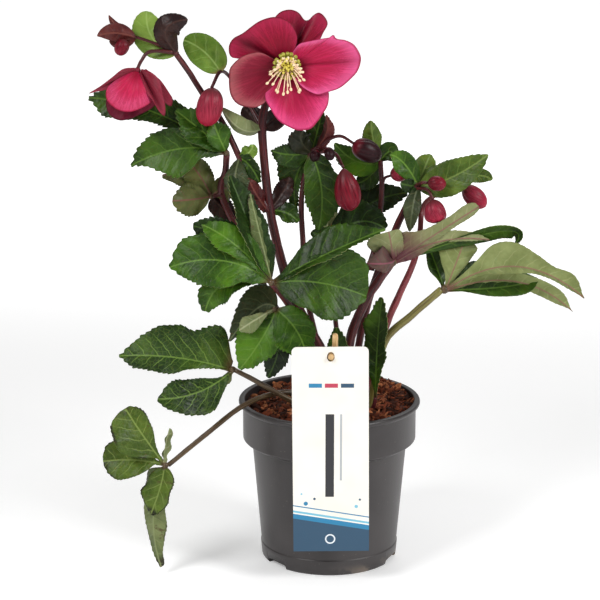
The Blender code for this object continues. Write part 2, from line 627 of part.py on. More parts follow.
def make_pot():
    """The thrown pot: base, tapered body, shoulder, collar and lip, with notches to drain."""
    outside = ((BASE_RADIUS - 1.2, 0.0), (BASE_RADIUS, 1.2), (BODY_TOP_RADIUS, BODY_TOP),
               (COLLAR_RADIUS, COLLAR_BOTTOM), (COLLAR_RADIUS, POT_HEIGHT - LIP_HEIGHT - 1.0),
               (LIP_RADIUS - 0.5, POT_HEIGHT - LIP_HEIGHT), (LIP_RADIUS, POT_HEIGHT - LIP_HEIGHT / 2),
               (LIP_RADIUS - 0.8, POT_HEIGHT))
    inside = ((COLLAR_RADIUS - WALL, POT_HEIGHT), (COLLAR_RADIUS - WALL, COLLAR_BOTTOM + 1.0),
              (inner_radius(BODY_TOP, 0.0), BODY_TOP), (inner_radius(FLOOR, 0.0), FLOOR))
    pot = lathe("pot", outside + inside, POT_SIDES, "pot_plastic")
    notches = []
    for i, angle in enumerate(DRAIN_NOTCH_ANGLES):
        middle = math.radians(angle - 90.0)
        radius = BASE_RADIUS + 4.0
        reach = radius * math.radians(DRAIN_NOTCH_WIDTH) / 2
        out = Vector((math.cos(middle), math.sin(middle), 0.0))
        side = Vector((-out.y, out.x, 0.0))
        corners = []
        for height in (-1.0, DRAIN_NOTCH_HEIGHT):
            taper = 0.0 if height < 0.0 else 1.5
            for depth in (BASE_RADIUS - 6.0, radius):
                for s in (-1.0, 1.0):
                    corners.append(out * depth + side * s * (reach - taper) + Vector((0, 0, height)))
        faces = [(0, 1, 3, 2), (4, 6, 7, 5), (0, 4, 5, 1), (2, 3, 7, 6), (0, 2, 6, 4), (1, 5, 7, 3)]
        notches.append(face_outward(new_object(f"notch {i}", corners, faces, "pot_plastic")))
    return combine(pot, notches, "DIFFERENCE")


def make_soil():
    """Lumpy bark soil filling the pot, with a hole for each stem."""
    chance = random.Random(11)
    heights = (DRAIN_NOTCH_HEIGHT + 1.5, BODY_TOP, COLLAR_BOTTOM + 1.0, SOIL_TOP)
    sides = SOIL_SIDES
    points = []
    for height in heights:
        for k in range(sides):
            turn = 2 * math.pi * k / sides
            radius = inner_radius(height, 0.6)
            points.append(Vector((radius * math.cos(turn), radius * math.sin(turn), height)))
    for ring in range(1, SOIL_RINGS):
        for k in range(sides):
            turn = 2 * math.pi * (k + 0.5 * ring) / sides
            radius = inner_radius(SOIL_TOP, 0.6) * (1.0 - ring / SOIL_RINGS)
            x, y = radius * math.cos(turn), radius * math.sin(turn)
            mound = SOIL_MOUND * math.exp(-((x - 34.0) ** 2 + (y - 26.0) ** 2) / 700.0)
            points.append(Vector((x, y, SOIL_TOP + mound + chance.uniform(-0.4, 1.0) * SOIL_LUMP)))
    rings = len(heights) + SOIL_RINGS - 1
    faces = []
    for i in range(rings - 1):
        for k in range(sides):
            beside = (k + 1) % sides
            faces.append((i * sides + k, i * sides + beside, (i + 1) * sides + beside))
            faces.append((i * sides + k, (i + 1) * sides + beside, (i + 1) * sides + k))
    faces.append(tuple(reversed(range(sides))))
    faces.append(tuple(range((rings - 1) * sides, rings * sides)))
    soil = face_outward(new_object("soil", points, faces, "soil_bark"))
    holes = []
    for name, stems in STEMS.items():
        foot = seen(stems[0].places[0])
        line = [foot - Vector((0, 0, ROOT_DEPTH + HOLE_PLAY)), foot + Vector((0, 0, 14.0))]
        radius = stems[0].start_radius + HOLE_PLAY
        holes.append(face_outward(tube(f"hole of {name}", line, [radius] * 2, 8, "soil_bark")))
    foot, top = stick_ends()
    line = [foot - (top - foot).normalized() * HOLE_PLAY, top]
    holes.append(face_outward(tube("hole of stick", line, [STICK_RADIUS + HOLE_PLAY] * 2, 8, "soil_bark")))
    return combine(soil, holes, "DIFFERENCE")


SOIL_RINGS = 5
SOIL_SIDES = 28


def stick_ends():
    """Foot in the soil and top behind the card."""
    back = CARD_FRONT - CARD_THICKNESS - STICK_RADIUS - 0.5
    return Vector((2.0, -36.0, 96.0)), Vector((3.0, -back - 0.0, 182.0))


def card_outline():
    """Corner points of the card, across and up from its bottom middle."""
    half = CARD_WIDTH / 2
    outline = [(-half, 0.0), (half, 0.0)]
    for centre, start in (((half - CARD_CORNER, CARD_HEIGHT - CARD_CORNER), 0.0),
                          ((-half + CARD_CORNER, CARD_HEIGHT - CARD_CORNER), 90.0)):
        for k in range(4):
            turn = math.radians(start + 30.0 * k)
            outline.append((centre[0] + CARD_CORNER * math.cos(turn), centre[1] + CARD_CORNER * math.sin(turn)))
    return outline


def prism(name, outline, back, front, slot):
    """An upright plate: an outline of (x, z) pairs between two depths."""
    count = len(outline)
    points = [Vector((x, back, z)) for x, z in outline] + [Vector((x, front, z)) for x, z in outline]
    faces = [(k, (k + 1) % count, count + (k + 1) % count, count + k) for k in range(count)]
    faces.append(tuple(reversed(range(count))))
    faces.append(tuple(range(count, 2 * count)))
    return face_outward(new_object(name, points, faces, slot))


def make_card():
    lean = math.radians(CARD_LEAN)
    outline = []
    for x, z in card_outline():
        outline.append((x * math.cos(lean) - z * math.sin(lean) + 0.8,
                        CARD_BOTTOM + z * math.cos(lean) + x * math.sin(lean)))
    card = prism("label_card", outline, -CARD_FRONT + CARD_THICKNESS, -CARD_FRONT, "label_card")
    hole = []
    for k in range(16):
        turn = 2 * math.pi * k / 16
        hole.append((CARD_HOLE[0] * math.cos(turn), CARD_HOLE_HEIGHT + CARD_HOLE[1] * math.sin(turn)))
    cutter = prism("card hole", hole, -CARD_FRONT + 3.0, -CARD_FRONT - 2.0, "label_card")
    return combine(card, [cutter], "DIFFERENCE")


def make_stick():
    """The bamboo stick behind the card and the peg that holds the card by its hole."""
    foot, top = stick_ends()
    stick = face_outward(tube("label_stick", [foot, foot.lerp(top, 0.5), top], [STICK_RADIUS] * 3, 10, "bamboo"))
    share = (CARD_HOLE_HEIGHT - foot.z) / (top.z - foot.z)
    start = foot.lerp(top, share)
    end = Vector((0.0, -CARD_FRONT - 2.6, CARD_HOLE_HEIGHT))
    start = Vector((0.6, start.y, CARD_HOLE_HEIGHT))
    peg = face_outward(tube("peg", [start, end], [PEG_RADIUS] * 2, 8, "bamboo"))
    return combine(stick, [peg], "UNION")


def build():
    make_pot()
    make_soil()
    make_card()
    make_stick()
    sprays = [spray for group in BRACTS_ON.values() for spray in group]
    for name, stems in STEMS.items():
        make_stem(name, stems, STEM_SLOTS.get(name, "stem_purple"))
    for name, leaf in LEAVES.items():
        if name not in sprays:
            make_leaf(name, leaf, LEAF_SLOTS.get(name, "leaf_green"))
    for name, bud in BUDS.items():
        bud_solid(name, bud, "bud_crimson")
    make_leaf("flower_main_sepals", FLOWER_MAIN, "sepal_crimson", SEPAL_THICKNESS, False)
    make_leaf("flower_left_sepals", FLOWER_LEFT, "sepal_crimson", SEPAL_THICKNESS, False)
    make_stamens()


STEM_SLOTS = {"stem_red": "stem_red", "petiole_right": "stem_olive"}
LEAF_SLOTS = {"leaf_spreading": "leaf_underside", "leaf_right": "leaf_underside", "leaf_olive": "leaf_underside"}

for old in list(bpy.data.objects):
    bpy.data.objects.remove(old)
build()
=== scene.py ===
"""Looks of a potted hellebore: leaves with veins and teeth, cupped flowers, buds, bark soil, pot and card.

Lengths are millimetres here and metres in the meshes. +Z is up and the front is -Y.
"""
import math
import random
from collections import namedtuple

import bmesh
import bpy
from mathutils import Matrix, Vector, noise

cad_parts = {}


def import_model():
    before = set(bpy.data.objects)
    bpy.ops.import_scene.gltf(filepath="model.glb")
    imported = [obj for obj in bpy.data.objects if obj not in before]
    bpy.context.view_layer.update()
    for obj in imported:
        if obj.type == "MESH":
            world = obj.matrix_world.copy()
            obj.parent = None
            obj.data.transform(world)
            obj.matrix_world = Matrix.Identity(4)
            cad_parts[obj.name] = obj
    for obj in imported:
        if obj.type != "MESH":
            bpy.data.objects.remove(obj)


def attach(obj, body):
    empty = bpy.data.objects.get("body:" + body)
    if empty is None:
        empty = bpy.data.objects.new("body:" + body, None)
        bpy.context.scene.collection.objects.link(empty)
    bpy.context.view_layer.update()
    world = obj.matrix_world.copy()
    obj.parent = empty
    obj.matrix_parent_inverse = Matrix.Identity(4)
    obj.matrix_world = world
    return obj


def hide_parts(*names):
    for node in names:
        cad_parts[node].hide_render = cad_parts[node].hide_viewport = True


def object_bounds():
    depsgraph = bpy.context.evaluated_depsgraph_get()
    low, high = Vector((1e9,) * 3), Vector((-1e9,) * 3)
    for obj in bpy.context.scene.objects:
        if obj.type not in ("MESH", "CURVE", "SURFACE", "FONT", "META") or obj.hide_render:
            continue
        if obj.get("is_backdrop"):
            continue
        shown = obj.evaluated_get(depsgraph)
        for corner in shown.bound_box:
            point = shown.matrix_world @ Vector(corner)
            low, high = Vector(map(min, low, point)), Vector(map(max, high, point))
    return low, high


MM = 0.001

# The pot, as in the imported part, with the lower edge of its collar as seen
LIP_RADIUS = 65.0
POT_HEIGHT = 117.0
LIP_HEIGHT = 3.2
COLLAR_RADIUS = 61.8
COLLAR_BOTTOM = 88.5
BODY_TOP_RADIUS = 55.2
BODY_TOP = 85.0
BASE_RADIUS = 48.5
WALL = 1.4
BASE_THICKNESS = 2.4
FOOT_STEP = 11.0
DRAIN_NOTCH_ANGLES = (-52.0, 68.0, 188.0)
DRAIN_NOTCH_WIDTH = 22.0
DRAIN_NOTCH_HEIGHT = 4.5
POT_SIDES = 160

SOIL_TOP = 111.9
SOIL_MOUND = 6.5
MOUND_PLACE = (38.0, 30.0)
SOIL_SIDES = 90
SOIL_RINGS = 26
CHIP_COUNT = 1900
SMALL_CHIP = (0.9, 2.2)
LARGE_CHIP = (2.2, 4.6)

CARD_WIDTH = 52.6
CARD_HEIGHT = 148.0
CARD_THICKNESS = 0.8
CARD_CORNER = 3.5
CARD_BOTTOM = 26.0
CARD_FRONT = 67.2
CARD_LEAN = 0.5
CARD_SHIFT = 0.8
CARD_HOLE = (2.6, 3.5)
CARD_HOLE_HEIGHT = 167.0
STICK_FOOT = Vector((2.0, -36.0, 96.0))
# Across and up, close behind the card
STICK_TOP = (3.0, 182.0)
STICK_RADIUS = 2.0
STICK_JOINT = 29
PEG_RADIUS = 2.1

# What is printed on the card, up from its foot: slanted stripes (low, high), dots (across, up,
# radius) and bars (left, right, low, high)
SLATE, BLUE, SKY = (44, 78, 104), (38, 128, 172), (120, 190, 214)
CARD_STRIPES = ((-20.0, 20.0, SLATE), (20.0, 23.5, BLUE), (24.5, 26.0, SKY), (29.0, 29.8, BLUE))
STRIPE_SLANT = 0.16
CARD_DOTS = ((-17.0, 35.0, 1.5, BLUE), (-11.0, 38.5, 0.9, SLATE), (18.0, 33.0, 1.2, SKY),
             (20.5, 38.0, 0.8, SLATE), (-20.0, 42.0, 0.7, SKY), (0.0, 9.0, 3.6, (225, 232, 236)),
             (0.0, 9.0, 2.6, SLATE))
CARD_BARS = ((-15.0, -6.0, 119.0, 122.0, BLUE), (-4.0, 5.0, 119.0, 122.0, (190, 60, 84)),
             (7.0, 16.0, 119.0, 122.0, SLATE), (-3.5, 2.5, 40.0, 100.0, (46, 46, 50)),
             (6.5, 8.0, 52.0, 100.0, (178, 180, 184)))

# Camera and studio
EYE = Vector((-21.0, -1600.0, 615.0))
CAMERA_PITCH = 14.9
CAMERA_LENS = 140.5
WORLD_LIGHT = 0.3
NEAR_GLOW = 0.24
MIDDLE_GLOW = 0.1
FAR_GLOW = 0.6
FLOOR_REACH = 6.0
# Each soft light's place, what it looks at, its size and its power, in metres and watts
LIGHTS = (
    ((-1.2, -1.2, 1.6), (0.0, 0.0, 0.2), 0.7, 23.0),
    ((1.4, -1.0, 1.2), (0.0, 0.0, 0.2), 0.6, 22.0),
    ((0.3, 1.3, 1.5), (0.0, 0.0, 0.2), 1.0, 8.0),
)

# Leaves, sepals, buds and the flower's middle
BLADE_THICKNESS = 0.5
VEIN_SPACING = 9.0
VEIN_SLANT = 0.72
PANEL_RISE = 0.45
RIB_DEPTH = 0.4
RIB_KEEL = 0.75
TOOTH_STEPS = (2.2, 3.7)
TOOTH_PEAK = 0.74
TIP_START = 0.92
SEPAL_HALF = 0.25
SEPAL_ROWS = 26
RIM_STEPS = 72
BUD_SIDES = 60
BUD_RINGS = 30
STAMEN_COUNT = 38
STAMEN_REACH = 14.5
TUFT_COUNT = 36
NECTARY_COUNT = 18
CARPEL_COUNT = 5
SPIRAL_TURN = 2 * math.pi * 0.382

# Pieces whose material differs from the rest of their kind
LEAF_SLOTS = dict.fromkeys(("leaf_spreading", "leaf_right", "leaf_olive"), "leaf_underside")
STEM_SLOTS = {"stem_red": "stem_red", "petiole_right": "stem_olive"}
STEM_SKINS = {"stem_red": "red_stem", "petiole_right": "olive_stem", "petiole_left_low": "brown_stem",
              "petiole_left_middle": "brown_stem"}

TOP = 1
UNDER = -1

# A place is (across, up, toward): the first two on the upright plane through the
# pot's axis, the third how far in front of that plane the place stands
Stem = namedtuple("Stem", "places start_radius end_radius")
Blade = namedtuple("Blade", "base middle tip half_width tilt fold side widest")
Leaf = namedtuple("Leaf", "hub hub_radius blades")
# A bud's skin, how egg-round its ends are, where it is widest and how deep its seams are
Bud = namedtuple("Bud", "base tip radius skin blunt widest ridge")
# A sepal's rim runs from one side of its root round the tip to the other side. Its fold says
# where across it lies, how wide, how deep, and how strong the painted shade laid in its crease is.
Sepal = namedtuple("Sepal", "root rim bulge cup pillow fold skin")

# Where every grown piece stands: each stem's own line first, then its side stalks
STEMS = {
    "stem_main": [
        Stem([(13, 109, 4), (0, 141, 4), (-12, 164, 4), (-26, 191, 5), (-34, 217, 6), (-42, 254, 8),
              (-46, 290, 8), (-47, 320, 6), (-40, 341, 2), (-31, 355, 8)], 4.2, 2.6),
        Stem([(-44, 254, 8), (-54, 276, 9), (-63, 292, 10), (-75, 317, 5), (-89, 338, 5), (-97, 351, 10),
              (-106, 364, 16)], 2.4, 1.9),
        Stem([(-105, 364, 16), (-119, 371, 14), (-133, 376, 12)], 1.3, 1.0),
        Stem([(-108, 366, 16), (-124, 366, 18), (-130, 360, 20), (-133, 354, 20)], 1.3, 1.2),
        Stem([(-47, 313, 6), (-58, 332, -4), (-69, 348, -2), (-76, 352, 10), (-82, 341, 18)], 1.5, 1.2),
    ],
    "stem_middle": [
        Stem([(5, 117, -16), (-8, 156, -14), (-17, 197, -12), (-19, 233, -10), (-20, 262, -8),
              (-15, 292, -6), (-8, 299, -4)], 2.3, 1.8),
        Stem([(-10, 296, -4), (-2, 304, -2), (7, 307, 0), (16, 302, 2)], 1.4, 1.0),
        Stem([(-10, 296, -4), (3, 295, -2), (9, 285, 7)], 1.3, 1.1),
        Stem([(-10, 296, -4), (-8, 298, 1)], 1.2, 1.0),
        Stem([(-8, 297, -4), (-3, 299, 7)], 1.2, 1.0),
    ],
    "stem_right": [
        Stem([(17, 120, -10), (22, 164, -9), (31, 201, -8), (43, 233, -6), (51, 252, -4),
              (61, 272, -2)], 3.0, 2.4),
        Stem([(28, 211, -8), (33, 236, -14), (36, 265, -16), (35, 290, -16)], 2.2, 1.7),
        Stem([(36, 270, -16), (38, 277, -14), (42, 279, -12)], 1.1, 0.9),
        Stem([(61, 272, -2), (64, 274, 9), (68, 274, 10)], 1.3, 0.9),
        Stem([(61, 270, -2), (68, 269, 9), (72, 262, 13)], 1.3, 1.0),
    ],
    "stem_red": [
        Stem([(27, 116, -2), (39, 167, 0), (50, 195, 2), (59, 217, 2), (63, 236, 0), (64, 252, -4),
              (68, 261, -12), (80, 269, -17), (91, 276, -17), (90, 273, -14), (93, 271, -12)], 3.1, 1.1),
    ],
    "petiole_spreading": [
        Stem([(15, 109, 14), (14, 156, 15), (24, 186, 17), (34, 203, 19), (43, 216, 20)], 3.8, 3.0),
    ],
    "petiole_right": [
        Stem([(30, 112, 8), (39, 158, 12), (58, 178, 14), (79, 197, 15)], 2.8, 2.6),
    ],
    "petiole_left_low": [
        Stem([(-10, 112, 10), (-32, 121, 18), (-60, 112, 32), (-89, 89, 42), (-116, 66, 50)], 2.2, 1.7),
    ],
    "petiole_left_middle": [
        Stem([(-13, 104, 24), (-33, 118, 27), (-48, 127, 29), (-68, 138, 30)], 2.2, 1.7),
    ],
    "petiole_centre": [
        Stem([(3, 103, 28), (0, 126, 28), (-12, 152, 28), (-26, 180, 27), (-35, 194, 33),
              (-41, 201, 38)], 2.6, 2.1),
    ],
    "petiole_front": [
        Stem([(-5, 107, 20), (-11, 126, 19), (-21, 151, 18), (-31, 167, 24), (-36, 179, 28)], 2.3, 1.9),
    ],
    "petiole_upper_left": [
        Stem([(-4, 117, -8), (-28, 164, -6), (-48, 202, -2), (-63, 236, 2), (-76, 266, 5), (-73, 282, 5),
              (-72, 294, 12)], 3.2, 2.2),
        Stem([(-76, 266, 5), (-82, 264, 7)], 1.7, 1.4),
    ],
    "shoot_low_right": [
        Stem([(31, 106, 14), (32, 112, 15), (33, 117, 15)], 1.6, 1.3),
    ],
    "shoot_low_middle": [
        Stem([(3, 109, 8), (3, 112, 10), (3, 114, 12)], 1.6, 1.3),
    ],
    "petiole_back": [
        Stem([(11, 123, -24), (5, 167, -22), (2, 204, -20), (0, 233, -18)], 2.1, 1.6),
    ],
}

LEAVES = {
    "leaf_left_low": Leaf((-118, 66, 50), 2.6, [
        Blade((-121, 69, 50), (-134, 89, 54), (-146, 109, 50), 18, 10, 8, TOP, 0.60),
        Blade((-121, 68, 50), (-141, 70, 53), (-163, 69, 50), 13, 5, 8, TOP, 0.60),
        Blade((-120, 70, 50), (-117, 81, 48), (-114, 94, 44), 4, 60, 10, UNDER, 0.5),
        Blade((-120, 63, 50), (-122, 49, 53), (-129, 29, 52), 11, 20, 16, TOP, 0.5),
        Blade((-119, 61, 50), (-127, 27, 48), (-122, -12, 46), 12, 30, 22, UNDER, 0.45),
    ]),
    "leaf_left_middle": Leaf((-69, 138, 30), 2.6, [
        Blade((-71, 138, 30), (-110, 147, 32), (-150, 148, 26), 20, 18, 8, TOP, 0.55),
        Blade((-71, 135, 31), (-94, 121, 38), (-123, 116, 36), 15, 18, 8, TOP, 0.55),
        Blade((-70, 135, 31), (-77, 128, 30), (-90, 125, 26), 4, 45, 10, UNDER, 0.5),
    ]),
    "leaf_centre": Leaf((-41, 202, 38), 2.8, [
        Blade((-45, 210, 38), (-66, 229, 43), (-90, 244, 38), 12, 20, 8, TOP, 0.55),
        Blade((-46, 208, 38), (-76, 218, 46), (-113, 213, 40), 15, 15, 8, TOP, 0.55),
        Blade((-48, 206, 38), (-73, 202, 42), (-88, 181, 38), 11, 15, 10, TOP, 0.6),
        Blade((-46, 210, 36), (-70, 231, 34), (-96, 243, 30), 12, 0, 8, TOP, 0.55),
        Blade((-45, 210, 35), (-56, 242, 32), (-70, 279, 26), 11, 34, 26, TOP, 0.5),
        Blade((-37, 203, 38), (-6, 221, 42), (39, 241, 34), 14, 34, 16, TOP, 0.5),
        Blade((-36, 201, 39), (-8, 202, 47), (26, 192, 42), 25, 12, 6, TOP, 0.52),
        Blade((-44, 211, 36), (-50, 239, 33), (-56, 266, 28), 5, 30, 12, UNDER, 0.45),
    ]),
    "leaf_front": Leaf((-39, 183, 31), 2.4, [
        Blade((-34, 183, 31), (-51, 183, 32), (-71, 159, 28), 15, 14, 10, UNDER, 0.5),
        Blade((-34, 179, 32), (-48, 161, 40), (-64, 138, 38), 16, 10, 8, TOP, 0.55),
        Blade((-32, 179, 33), (-23, 166, 41), (-16, 145, 40), 18, 8, 6, TOP, 0.55),
        Blade((-33, 178, 31), (-36, 156, 35), (-44, 132, 34), 8, 0, 10, TOP, 0.6),
        Blade((-42, 180, 33), (-52, 175, 41), (-64, 167, 42), 5.5, 10, 14, UNDER, 0.7),
    ]),
    "leaf_upper_left": Leaf((-72, 295, 12), 2.4, [
        Blade((-74, 296, 12), (-105, 298, 20), (-139, 286, 16), 18, 12, 6, TOP, 0.55),
        Blade((-75, 297, 11), (-120, 323, 4), (-167, 334, -2), 14, 5, 8, TOP, 0.6),
        Blade((-72, 298, 13), (-87, 309, 15), (-107, 325, 13), 12, 20, 14, TOP, 0.55),
        Blade((-73, 297, 14), (-77, 306, 18), (-81, 317, 16), 8, 10, 12, TOP, 0.55),
    ]),
    "leaf_olive": Leaf((-83, 264, 7), 2.2, [
        Blade((-85, 264, 8), (-96, 262, 10), (-110, 261, 8), 11, 0, 6, UNDER, 0.55),
        Blade((-84, 267, 6), (-91, 279, 2), (-100, 290, -2), 10, 10, 10, UNDER, 0.55),
        Blade((-85, 267, 6), (-98, 276, 0), (-117, 279, -4), 8, 55, 10, UNDER, 0.55),
        Blade((-82, 262, 6), (-74, 254, 4), (-62, 242, 0), 8, 10, 10, UNDER, 0.4),
        Blade((-82, 265, 6), (-73, 270, 3), (-64, 267, -2), 9, 10, 10, UNDER, 0.5),
    ]),
    "leaf_back": Leaf((0, 234, -18), 2.2, [
        Blade((0, 236, -18), (-3, 247, -18), (-8, 263, -18), 9, 15, 10, UNDER, 0.6),
        Blade((2, 234, -17), (20, 246, -6), (39, 241, -4), 13, 15, 14, TOP, 0.5),
        Blade((1, 236, -19), (24, 257, -24), (54, 267, -26), 11, 10, 12, TOP, 0.55),
        Blade((-2, 234, -17), (-6, 236, -14), (-13, 239, -12), 6, 0, 10, TOP, 0.5),
    ]),
    "leaf_spreading": Leaf((44, 217, 20), 3.6, [
        Blade((44, 219, 21), (43, 229, 25), (41, 239, 25), 12, 10, 8, UNDER, 0.6),
        Blade((47, 220, 24), (39, 216, 31), (26, 216, 33), 7, -15, 20, UNDER, 0.5),
        Blade((45, 218, 20), (72, 236, 22), (104, 257, 18), 8, -22, 12, UNDER, 0.5),
        Blade((47, 217, 20), (77, 232, 20), (112, 233, 16), 9, -16, 8, UNDER, 0.5),
        Blade((105, 233, 17), (119, 239, 14), (129, 228, 12), 6, -40, 12, TOP, 0.5),
    ]),
    "leaf_right": Leaf((81, 197, 15), 3.4, [
        Blade((83, 199, 15), (89, 217, 16), (95, 234, 10), 17, -12, 8, UNDER, 0.62),
        Blade((79, 200, 14), (75, 214, 8), (69, 229, 4), 7, 20, 25, TOP, 0.55),
        Blade((84, 197, 16), (131, 214, 26), (180, 191, 24), 14, -20, 8, UNDER, 0.42),
        Blade((84, 196, 15), (124, 199, 10), (147, 205, 4), 9, 20, 15, TOP, 0.6),
        Blade((84, 195, 14), (131, 203, 8), (172, 181, 4), 8, -20, 10, UNDER, 0.62),
        Blade((83, 199, 13), (99, 207, 0), (111, 216, -8), 8, 10, 10, TOP, 0.6),
    ]),
    "leaf_low_right": Leaf((33, 117, 15), 1.9, [
        Blade((33, 120, 15), (34, 156, 22), (37, 191, 22), 9, 30, 18, TOP, 0.6),
    ]),
    "leaf_low_middle": Leaf((3, 114, 12), 1.9, [
        Blade((3, 117, 13), (6, 144, 22), (5, 169, 24), 8, 25, 15, TOP, 0.6),
    ]),
    "bracts_top_left": Leaf((-106, 365, 16), 2.8, [
        Blade((-108, 364, 15), (-122, 375, 8), (-126, 394, 4), 12, 0, 6, TOP, 0.55),
        Blade((-108, 367, 20), (-113, 381, 26), (-98, 388, 24), 9, 10, 22, UNDER, 0.5),
    ]),
    "bracts_flower": Leaf((-47, 313, 6), 3.6, [
        Blade((-49, 312, 9), (-61, 312, 16), (-75, 327, 12), 7, -38, 25, UNDER, 0.5),
        Blade((-45, 314, 4), (-39, 319, -2), (-33, 327, -6), 8, 20, 12, UNDER, 0.5),
        Blade((-49, 314, 3), (-54, 320, -4), (-60, 328, -8), 8, -10, 12, UNDER, 0.5),
    ]),
    "bract_bud": Leaf((-76, 352, 10), 1.4, [
        Blade((-77, 353, 9), (-87, 366, 6), (-101, 374, 2), 11.5, 12, 6, TOP, 0.44),
    ]),
    "bracts_fork": Leaf((-63, 291, 10), 3.0, [
        Blade((-64, 288, 13), (-66, 276, 22), (-63, 260, 20), 8, 15, 20, UNDER, 0.5),
        Blade((-61, 289, 12), (-56, 286, 16), (-49, 274, 18), 7, -25, 12, TOP, 0.5),
        Blade((-61, 292, 10), (-56, 296, 16), (-54, 301, 18), 5, 0, 12, TOP, 0.5),
    ]),
    "bracts_low_fork": Leaf((-43, 253, 8), 3.8, [
        Blade((-41, 255, 4), (-32, 269, -2), (-29, 278, -6), 6, 0, 12, UNDER, 0.5),
        Blade((-41, 252, 4), (-32, 253, 0), (-22, 246, -2), 7, 20, 15, TOP, 0.5),
        Blade((-45, 257, 12), (-52, 266, 18), (-57, 277, 20), 6, 20, 12, UNDER, 0.5),
    ]),
    "bracts_middle": Leaf((-13, 295, -6), 2.6, [
        Blade((-17, 295, -6), (-29, 294, -2), (-41, 297, 0), 9, -8, 8, TOP, 0.45),
        Blade((-15, 293, -7), (-24, 277, -8), (-23, 254, -10), 12, 12, 8, TOP, 0.5),
        Blade((-11, 293, -7), (-6, 269, -4), (-8, 240, -8), 13, 12, 12, TOP, 0.45),
        Blade((-16, 297, -4), (-20, 303, 2), (-19, 311, 4), 8, 10, 20, UNDER, 0.5),
        Blade((-11, 299, -8), (-9, 310, -12), (-6, 324, -14), 8, 20, 15, TOP, 0.5),
        Blade((-8, 301, -4), (-3, 308, -2), (-3, 322, -2), 4, 20, 30, UNDER, 0.5),
    ]),
    "bracts_back": Leaf((35, 289, -16), 2.4, [
        Blade((35, 292, -15), (30, 303, -12), (28, 318, -10), 7, 15, 20, UNDER, 0.55),
        Blade((33, 289, -17), (19, 289, -22), (3, 302, -24), 10, -15, 10, TOP, 0.5),
        Blade((34, 286, -17), (26, 277, -24), (17, 274, -26), 8, 10, 10, TOP, 0.5),
        Blade((37, 290, -16), (41, 296, -16), (44, 292, -14), 7, 0, 14, TOP, 0.5),
    ]),
    "bracts_right": Leaf((61, 272, -2), 3.2, [
        Blade((63, 273, -2), (83, 277, 3), (110, 294, 2), 12, 8, 6, TOP, 0.5),
        Blade((61, 274, -4), (66, 285, -10), (70, 294, -14), 8, 20, 12, TOP, 0.5),
        Blade((59, 274, -3), (52, 287, -2), (42, 294, -2), 8, 5, 12, TOP, 0.5),
        Blade((59, 272, -2), (55, 272, 0), (49, 274, 0), 5, 0, 10, TOP, 0.5),
        Blade((60, 269, 0), (58, 257, 5), (56, 239, 7), 6, 15, 15, TOP, 0.5),
    ]),
    "bract_far_right": Leaf((91, 276, -17), 1.4, [
        Blade((93, 277, -18), (104, 279, -20), (113, 276, -19), 5, 0, 8, TOP, 0.5),
    ]),
    "bracts_small_left": Leaf((-134, 376, 12), 1.8, [
        Blade((-135, 377, 12), (-147, 379, 15), (-160, 377, 12), 6.5, -12, 14, UNDER, 0.5),
        Blade((-136, 378, 11), (-145, 382, 8), (-152, 391, 4), 3, 10, 15, UNDER, 0.45),
        Blade((-135, 375, 12), (-143, 373, 10), (-152, 373, 8), 5, 25, 15, UNDER, 0.5),
    ]),
}

BUDS = {
    "bud_hanging_left": Bud((-81, 341, 18), (-86, 314, 20), 9.2, "bud_rose", 0.95, 0.52, 0.03),
    "bud_small_left": Bud((-140, 374, 16), (-147, 364, 17), 5.0, "bud", 0.9, 0.5, 0.03),
    "bud_middle_large": Bud((9, 284, 8), (15, 254, 8), 9.4, "bud", 0.5, 0.6, 0.09),
    "bud_dark": Bud((16, 302, 2), (35, 291, 0), 8.0, "bud_dark", 0.8, 0.45, 0.06),
    "bud_middle_small_a": Bud((-9, 297, 3), (-12, 289, 7), 3.8, "bud_dark", 0.5, 0.5, 0.06),
    "bud_middle_small_b": Bud((-2, 299, 9), (1, 290, 15), 3.8, "bud_dark", 0.5, 0.5, 0.06),
    "bud_back": Bud((42, 279, -12), (53, 282, -8), 6.0, "bud_rose", 0.7, 0.6, 0.05),
    "bud_right_upper": Bud((68, 274, 10), (81, 273, 12), 5.4, "bud", 0.6, 0.5, 0.06),
    "bud_right_lower": Bud((72, 262, 13), (75, 245, 14), 8.0, "bud_rose", 0.9, 0.66, 0.08),
    "bud_far_right": Bud((93, 271, -12), (109, 257, -11), 7.2, "bud_rose", 0.6, 0.5, 0.1),
}

FLOWER_MAIN_HUB = (-30, 356, 14)
FLOWER_MAIN_HUB_RADIUS = 5.5
FLOWER_LEFT_HUB = (-133, 353, 20)

